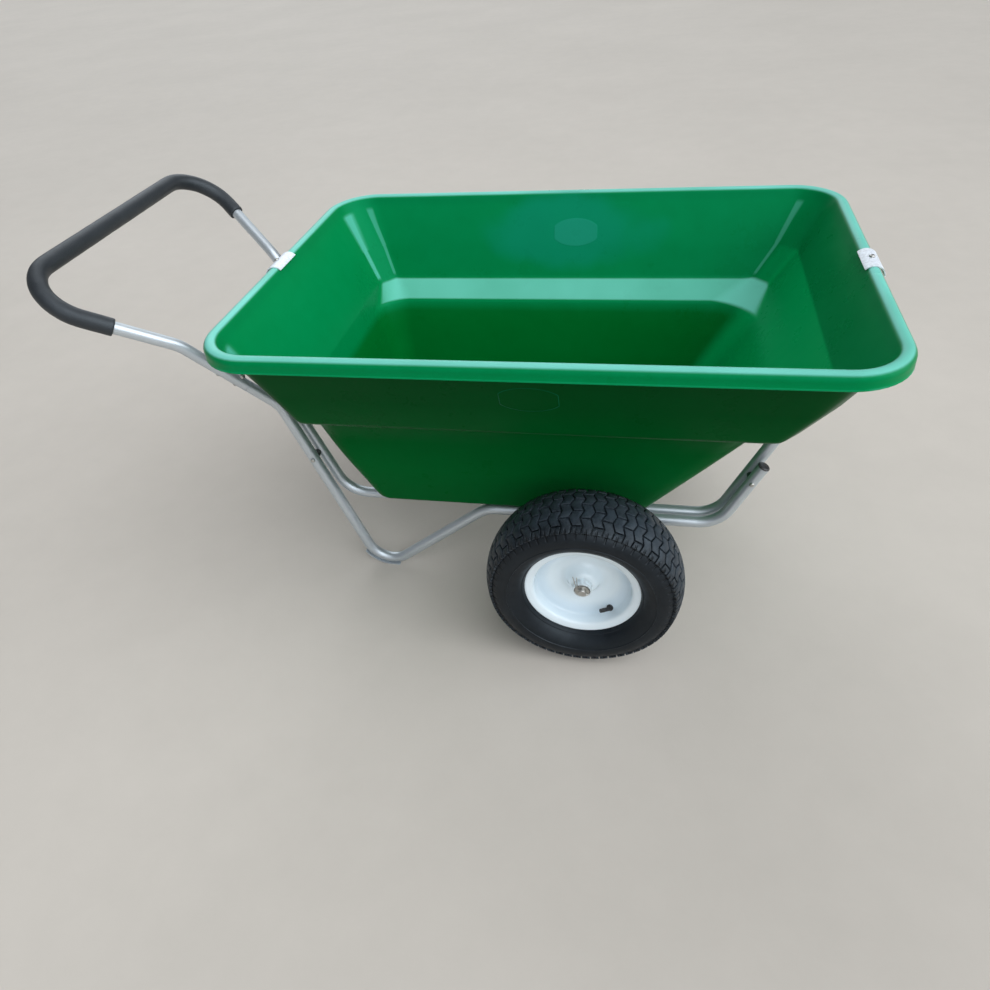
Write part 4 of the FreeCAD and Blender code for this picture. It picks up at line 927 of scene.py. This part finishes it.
def make_tread():
    """Chevron lugs for one pitch, repeated along a strip and bent round the tyre."""
    deselect()
    width = 8 * TREAD_COLUMN
    bpy.ops.mesh.primitive_grid_add(x_subdivisions=8, y_subdivisions=2, size=1)
    bpy.context.object.scale = (width, 2 * TREAD_PITCH, 1)
    obj = new_piece("tyre_tread")
    edit(obj)
    # every other column of corners moves along the tyre, which makes the zigzag
    for step in (-1, 1):
        choose(obj, lambda vert: abs(vert.co.x) < width / 2 - 0.001
               and (round(vert.co.x / TREAD_COLUMN) % 2 == 0) == (step > 0))
        bpy.ops.transform.translate(value=(0, step * ZIGZAG, 0))
    # staggered cuts across the lugs
    bpy.ops.mesh.select_mode(type="EDGE")
    for row in (-1, 1):
        for column in range(-4, 5):
            if (column % 2 == 0) != (row > 0) or abs(column) == 4:
                continue
            choose(obj, lambda edge: all(abs(vert.co.x - column * TREAD_COLUMN) < 0.001
                                         for vert in edge.verts)
                   and sum(vert.co.y for vert in edge.verts) / 2 * row > 0.002, "edges")
            bpy.ops.mesh.edge_split(type="EDGE")
    choose(obj, lambda edge: abs(sum(vert.co.y for vert in edge.verts)) / 2 < 0.0045
           and all(abs(abs(vert.co.y) - TREAD_PITCH) > 0.005 for vert in edge.verts)
           and abs(edge.verts[0].co.x - edge.verts[1].co.x) > 0.001, "edges")
    bpy.ops.mesh.edge_split(type="EDGE")
    bpy.ops.mesh.select_mode(type="FACE")
    bpy.ops.mesh.select_all(action="SELECT")
    bpy.ops.mesh.inset(thickness=GROOVE / 2, use_boundary=True)
    bpy.ops.mesh.select_all(action="INVERT")
    bpy.ops.mesh.delete(type="FACE")
    bpy.ops.mesh.select_all(action="SELECT")
    bpy.ops.mesh.extrude_region_move(TRANSFORM_OT_translate={"value": (0, 0, TREAD_DEPTH)})
    bpy.ops.mesh.select_all(action="SELECT")
    bpy.ops.mesh.normals_make_consistent(inside=False)
    bpy.ops.mesh.select_mode(type="EDGE")
    choose(obj, lambda edge: all(vert.co.z > TREAD_DEPTH / 2 for vert in edge.verts)
           and edge.calc_face_angle(0.0) > 0.5, "edges")
    bpy.ops.mesh.bevel(offset=LUG_EASING, segments=2, affect="EDGES")
    leave()
    # the strip stands with its top to -Y, its width along X
    obj.rotation_euler = (math.pi / 2, 0, 0)
    bpy.ops.object.transform_apply(rotation=True)
    breadth = max(vert.co.x for vert in obj.data.vertices) * 2
    apply_modifier(obj, "SIMPLE_DEFORM", deform_method="BEND", deform_axis="Z",
                   angle=breadth / CROWN_RADIUS)
    obj.rotation_euler = (0, math.pi / 2, 0)
    bpy.ops.object.transform_apply(rotation=True)
    apply_modifier(obj, "ARRAY", count=LUGS_ROUND // 2, use_relative_offset=False,
                   use_constant_offset=True, constant_offset_displace=(2 * TREAD_PITCH, 0, 0))
    ends = [vert.co.x for vert in obj.data.vertices]
    obj.location.x = -(min(ends) + max(ends)) / 2
    bpy.ops.object.transform_apply(location=True)
    apply_modifier(obj, "SIMPLE_DEFORM", deform_method="BEND", deform_axis="Z",
                   angle=(max(ends) - min(ends)) / TREAD_BASE)
    # the ring's middle lies on +Y; it is stood up and carried to the right wheel
    obj.location = (0, -TREAD_BASE, 0)
    bpy.ops.object.transform_apply(location=True)
    obj.rotation_euler = (math.pi / 2, 0, 0)
    bpy.ops.object.transform_apply(rotation=True)
    obj.location = (AXLE.x, RIGHT * WHEEL_Y, AXLE.z)
    bpy.ops.object.transform_apply(location=True)
    smooth(obj, 30)
    return obj


def make_dish():
    """Outer pressing of the wheel: rolled flange, bead seat, stepped bowl and raised centre."""
    face = [(0.0388, 0.1166), (0.0396, 0.1180), (0.0408, 0.1182), (0.0414, 0.1170),
            (0.0412, 0.1148), (0.0404, 0.1120), (0.0392, 0.1070), (0.0378, 0.1030),
            (0.0352, 0.1006), (0.0312, 0.0996), (0.0220, 0.0984), (0.0172, 0.0970),
            (0.0146, 0.0944), (0.0128, 0.0906), (0.0106, 0.0862), (0.0074, 0.0806),
            (0.0030, 0.0720), (-0.0010, 0.0630), (-0.0034, 0.0560), (-0.0044, 0.0500),
            (-0.0040, 0.0440), (-0.0012, 0.0390), (0.0060, 0.0338), (0.0140, 0.0294),
            (0.0186, 0.0260), (0.0204, 0.0224), (0.0210, 0.0189)]
    back = [(out - RIM_SHEET, radius) for out, radius in reversed(face[3:])]
    back[-1] = (0.0386, 0.1150)
    ring = face + back
    ring.append(ring[0])
    obj = turned("wheel_dish", ring, segments=128)
    smooth(obj, 40)
    return obj


def make_wheels():
    """Tyre, tread and pressing of both wheels; the left ones are the right ones turned."""
    carcass = dress(make_carcass(), FINISHES["tyre_rubber"])
    tread = dress(make_tread(), FINISHES["tyre_rubber"])
    dish = dress(make_dish(), FINISHES["rim_paint"])
    for obj, node, slot in ((carcass, "tyre", "tyre_rubber"), (tread, "tyre", "tyre_rubber"),
                            (dish, "rim_outer_half", "rim_paint")):
        name = obj.name
        other = opposite(obj, name + "_left")
        obj.name = name + "_right"
        for piece, side in ((obj, "right"), (other, "left")):
            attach(piece, "wheel_" + side)
            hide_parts(node + "_" + side)


# ---------------------------------------------------------------- the foam grip

TUBE_RADIUS = 0.0125
GRIP_RADIUS = 0.0177
# the bend above the left leg, the push bar's left corner, and the share of the way from
# the one to the other that is left bare on each side
HANDLE_BEND = Vector((AXLE.x - 0.8261, 0.2310, 0.6536))
BAR_CORNER = Vector((AXLE.x - 1.0465, 0.3633, 0.8232))
GRIP_BARE = {LEFT: 0.456, RIGHT: 0.39}
# radius of the bar's corners, and the number of rings along each straight
BAR_BEND = 0.084
SLEEVE_STEPS = 24


def sleeve_ring(here, along, old_radius, new_radius, reach):
    """Extrude the selected ring along the bar, changing its radius."""
    bpy.ops.mesh.extrude_region_move(TRANSFORM_OT_translate={"value": along * reach})
    scale = new_radius / old_radius
    bpy.ops.transform.resize(value=(scale, scale, scale), center_override=here + along * reach)
    return here + along * reach


def make_grip():
    """Foam sleeve drawn round the push bar by straight extrusions and two spins."""
    start = HANDLE_BEND.lerp(BAR_CORNER, GRIP_BARE[LEFT])
    first = (BAR_CORNER - start).normalized()
    second = Vector((0, -1, 0))
    last = Vector((-first.x, first.y, -first.z))
    turn = first.angle(second)
    back = BAR_BEND * math.tan(turn / 2)
    bore = TUBE_RADIUS + 0.0004
    rounding = ((GRIP_RADIUS - 0.0030, 0.0), (GRIP_RADIUS - 0.0014, 0.0005),
                (GRIP_RADIUS - 0.0004, 0.0016), (GRIP_RADIUS, 0.0034))
    deselect()
    bpy.ops.mesh.primitive_circle_add(vertices=40, radius=bore, location=start,
                                      rotation=first.to_track_quat("Z", "Y").to_euler())
    obj = new_piece("foam_grip_sleeve")
    edit(obj, "EDGE")
    bpy.ops.mesh.select_all(action="SELECT")
    here, radius, covered = start, bore, 0.0
    for new_radius, depth in rounding:
        here = sleeve_ring(here, first, radius, new_radius, depth - covered)
        radius, covered = new_radius, depth
    corner = BAR_CORNER
    for along, after in ((first, second), (second, last)):
        length = (corner - here).length - back
        for _ in range(SLEEVE_STEPS):
            here = sleeve_ring(here, along, radius, radius, length / SLEEVE_STEPS)
        normal = along.cross(after).normalized()
        middle = here + normal.cross(along) * BAR_BEND
        bpy.ops.mesh.spin(steps=14, angle=-turn, center=middle, axis=normal)
        here = corner + after * back
        corner = Vector((BAR_CORNER.x, -BAR_CORNER.y, BAR_CORNER.z))
    end = HANDLE_BEND.lerp(BAR_CORNER, GRIP_BARE[RIGHT])
    end.y = -end.y
    length = (end - here).length - rounding[-1][1]
    for _ in range(SLEEVE_STEPS):
        here = sleeve_ring(here, last, radius, radius, length / SLEEVE_STEPS)
    for new_radius, depth in reversed(rounding[:-1]):
        here = sleeve_ring(here, last, radius, new_radius, covered - depth)
        radius, covered = new_radius, depth
    sleeve_ring(here, last, radius, bore, 0.0)
    leave()
    close_up(obj)
    apply_modifier(obj, "SUBSURF", levels=1, render_levels=1)
    lumps = bpy.data.textures.new("foam_lumps", "CLOUDS")
    lumps.noise_scale = 0.035
    apply_modifier(obj, "DISPLACE", texture=lumps, texture_coords="LOCAL", strength=0.0007,
                   mid_level=0.5)
    smooth(obj, 50)
    dress(obj, FINISHES["foam"])
    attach(obj, "frame")
    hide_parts("foam_grip")


# ---------------------------------------------------------------- the pieces

tub = make_tub()
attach(tub, "frame")
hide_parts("tub")
make_wheels()
make_grip()


# ---------------------------------------------------------------- floor, light, camera

def floor_concrete():
    """Plain pale screed."""
    return mottled(
        "pale_floor",
        dict(Scale=0.9, Base=(0.585, 0.535, 0.475), Worn=(0.655, 0.598, 0.533), Amount=0.6),
        dict(scale=90.0, roughness=0.8, spread=0.1, strength=0.08, distance=0.002))


deselect()
bpy.ops.mesh.primitive_plane_add(size=80, location=(0, 0, 0))
floor = new_piece("floor")
dress(floor, floor_concrete())


def soft_lamp(name, place, aim, width, height, power):
    """A rectangular lamp, turned towards a point."""
    deselect()
    bpy.ops.object.light_add(type="AREA", location=place)
    lamp = bpy.context.object
    lamp.name = name
    lamp.data.shape = "RECTANGLE"
    lamp.data.size = width
    lamp.data.size_y = height
    lamp.data.energy = power
    way = Vector(aim) - Vector(place)
    lamp.rotation_euler = way.to_track_quat("-Z", "Y").to_euler()


soft_lamp("sky_panel", place=(0.4, 0.2, 3.6), aim=(0, 0, 0.3), width=3.6, height=3.0, power=20)


def glow(tree, way, outer, inner, strength):
    """Soft bright region of the sky about a direction, between two angles from it."""
    place = tree.nodes.new("ShaderNodeTexCoord").outputs["Generated"]
    near = add(tree, "VectorMath", {0: place, 1: tuple(Vector(way).normalized())},
               operation="DOT_PRODUCT").outputs["Value"]
    return span(tree, near, math.cos(math.radians(outer)), math.cos(math.radians(inner)),
                0.0, strength, smooth=True)


# each bright region: its direction, the angles where it begins and is full, its strength
SKY_REGIONS = (((0.55, -0.40, 0.73), 42, 8, 2.3), ((-0.35, 0.85, 0.55), 34, 10, 1.8),
               ((0.92, -0.05, 0.38), 36, 10, 2.1), ((0.15, -0.90, 0.42), 34, 10, 1.2))
SKY_EVEN = 0.16
SKY_SEEN = 0.62

world = bpy.data.worlds.new("soft_sky")
world.use_nodes = True
bpy.context.scene.world = world
sky_tree = world.node_tree
sky = sky_tree.nodes["Background"]
sky.inputs["Color"].default_value = (0.90, 0.95, 1.0, 1.0)
light = SKY_EVEN
for region in SKY_REGIONS:
    light = maths(sky_tree, "ADD", glow(sky_tree, *region), light)
# what the camera itself sees of the sky is plain
direct = sky_tree.nodes.new("ShaderNodeLightPath").outputs["Is Camera Ray"]
sky_tree.links.new(span(sky_tree, direct, 0.0, 1.0, light, SKY_SEEN), sky.inputs["Strength"])

# the camera's place, its turns in degrees, and its lens
CAMERA_PLACE = (0.3808399, -1.4054840, 1.3318245)
CAMERA_TURNS = (49.58363, 4.77152, 10.73353)
CAMERA_LENS = 26.7364

bpy.ops.object.camera_add(location=CAMERA_PLACE,
                          rotation=[math.radians(turn) for turn in CAMERA_TURNS])
camera = bpy.context.object
camera.name = "camera"
camera.data.lens = CAMERA_LENS
camera.data.sensor_width = 36
camera.data.clip_start = 0.05
bpy.context.scene.camera = camera
bpy.context.scene.view_settings.view_transform = "Standard"
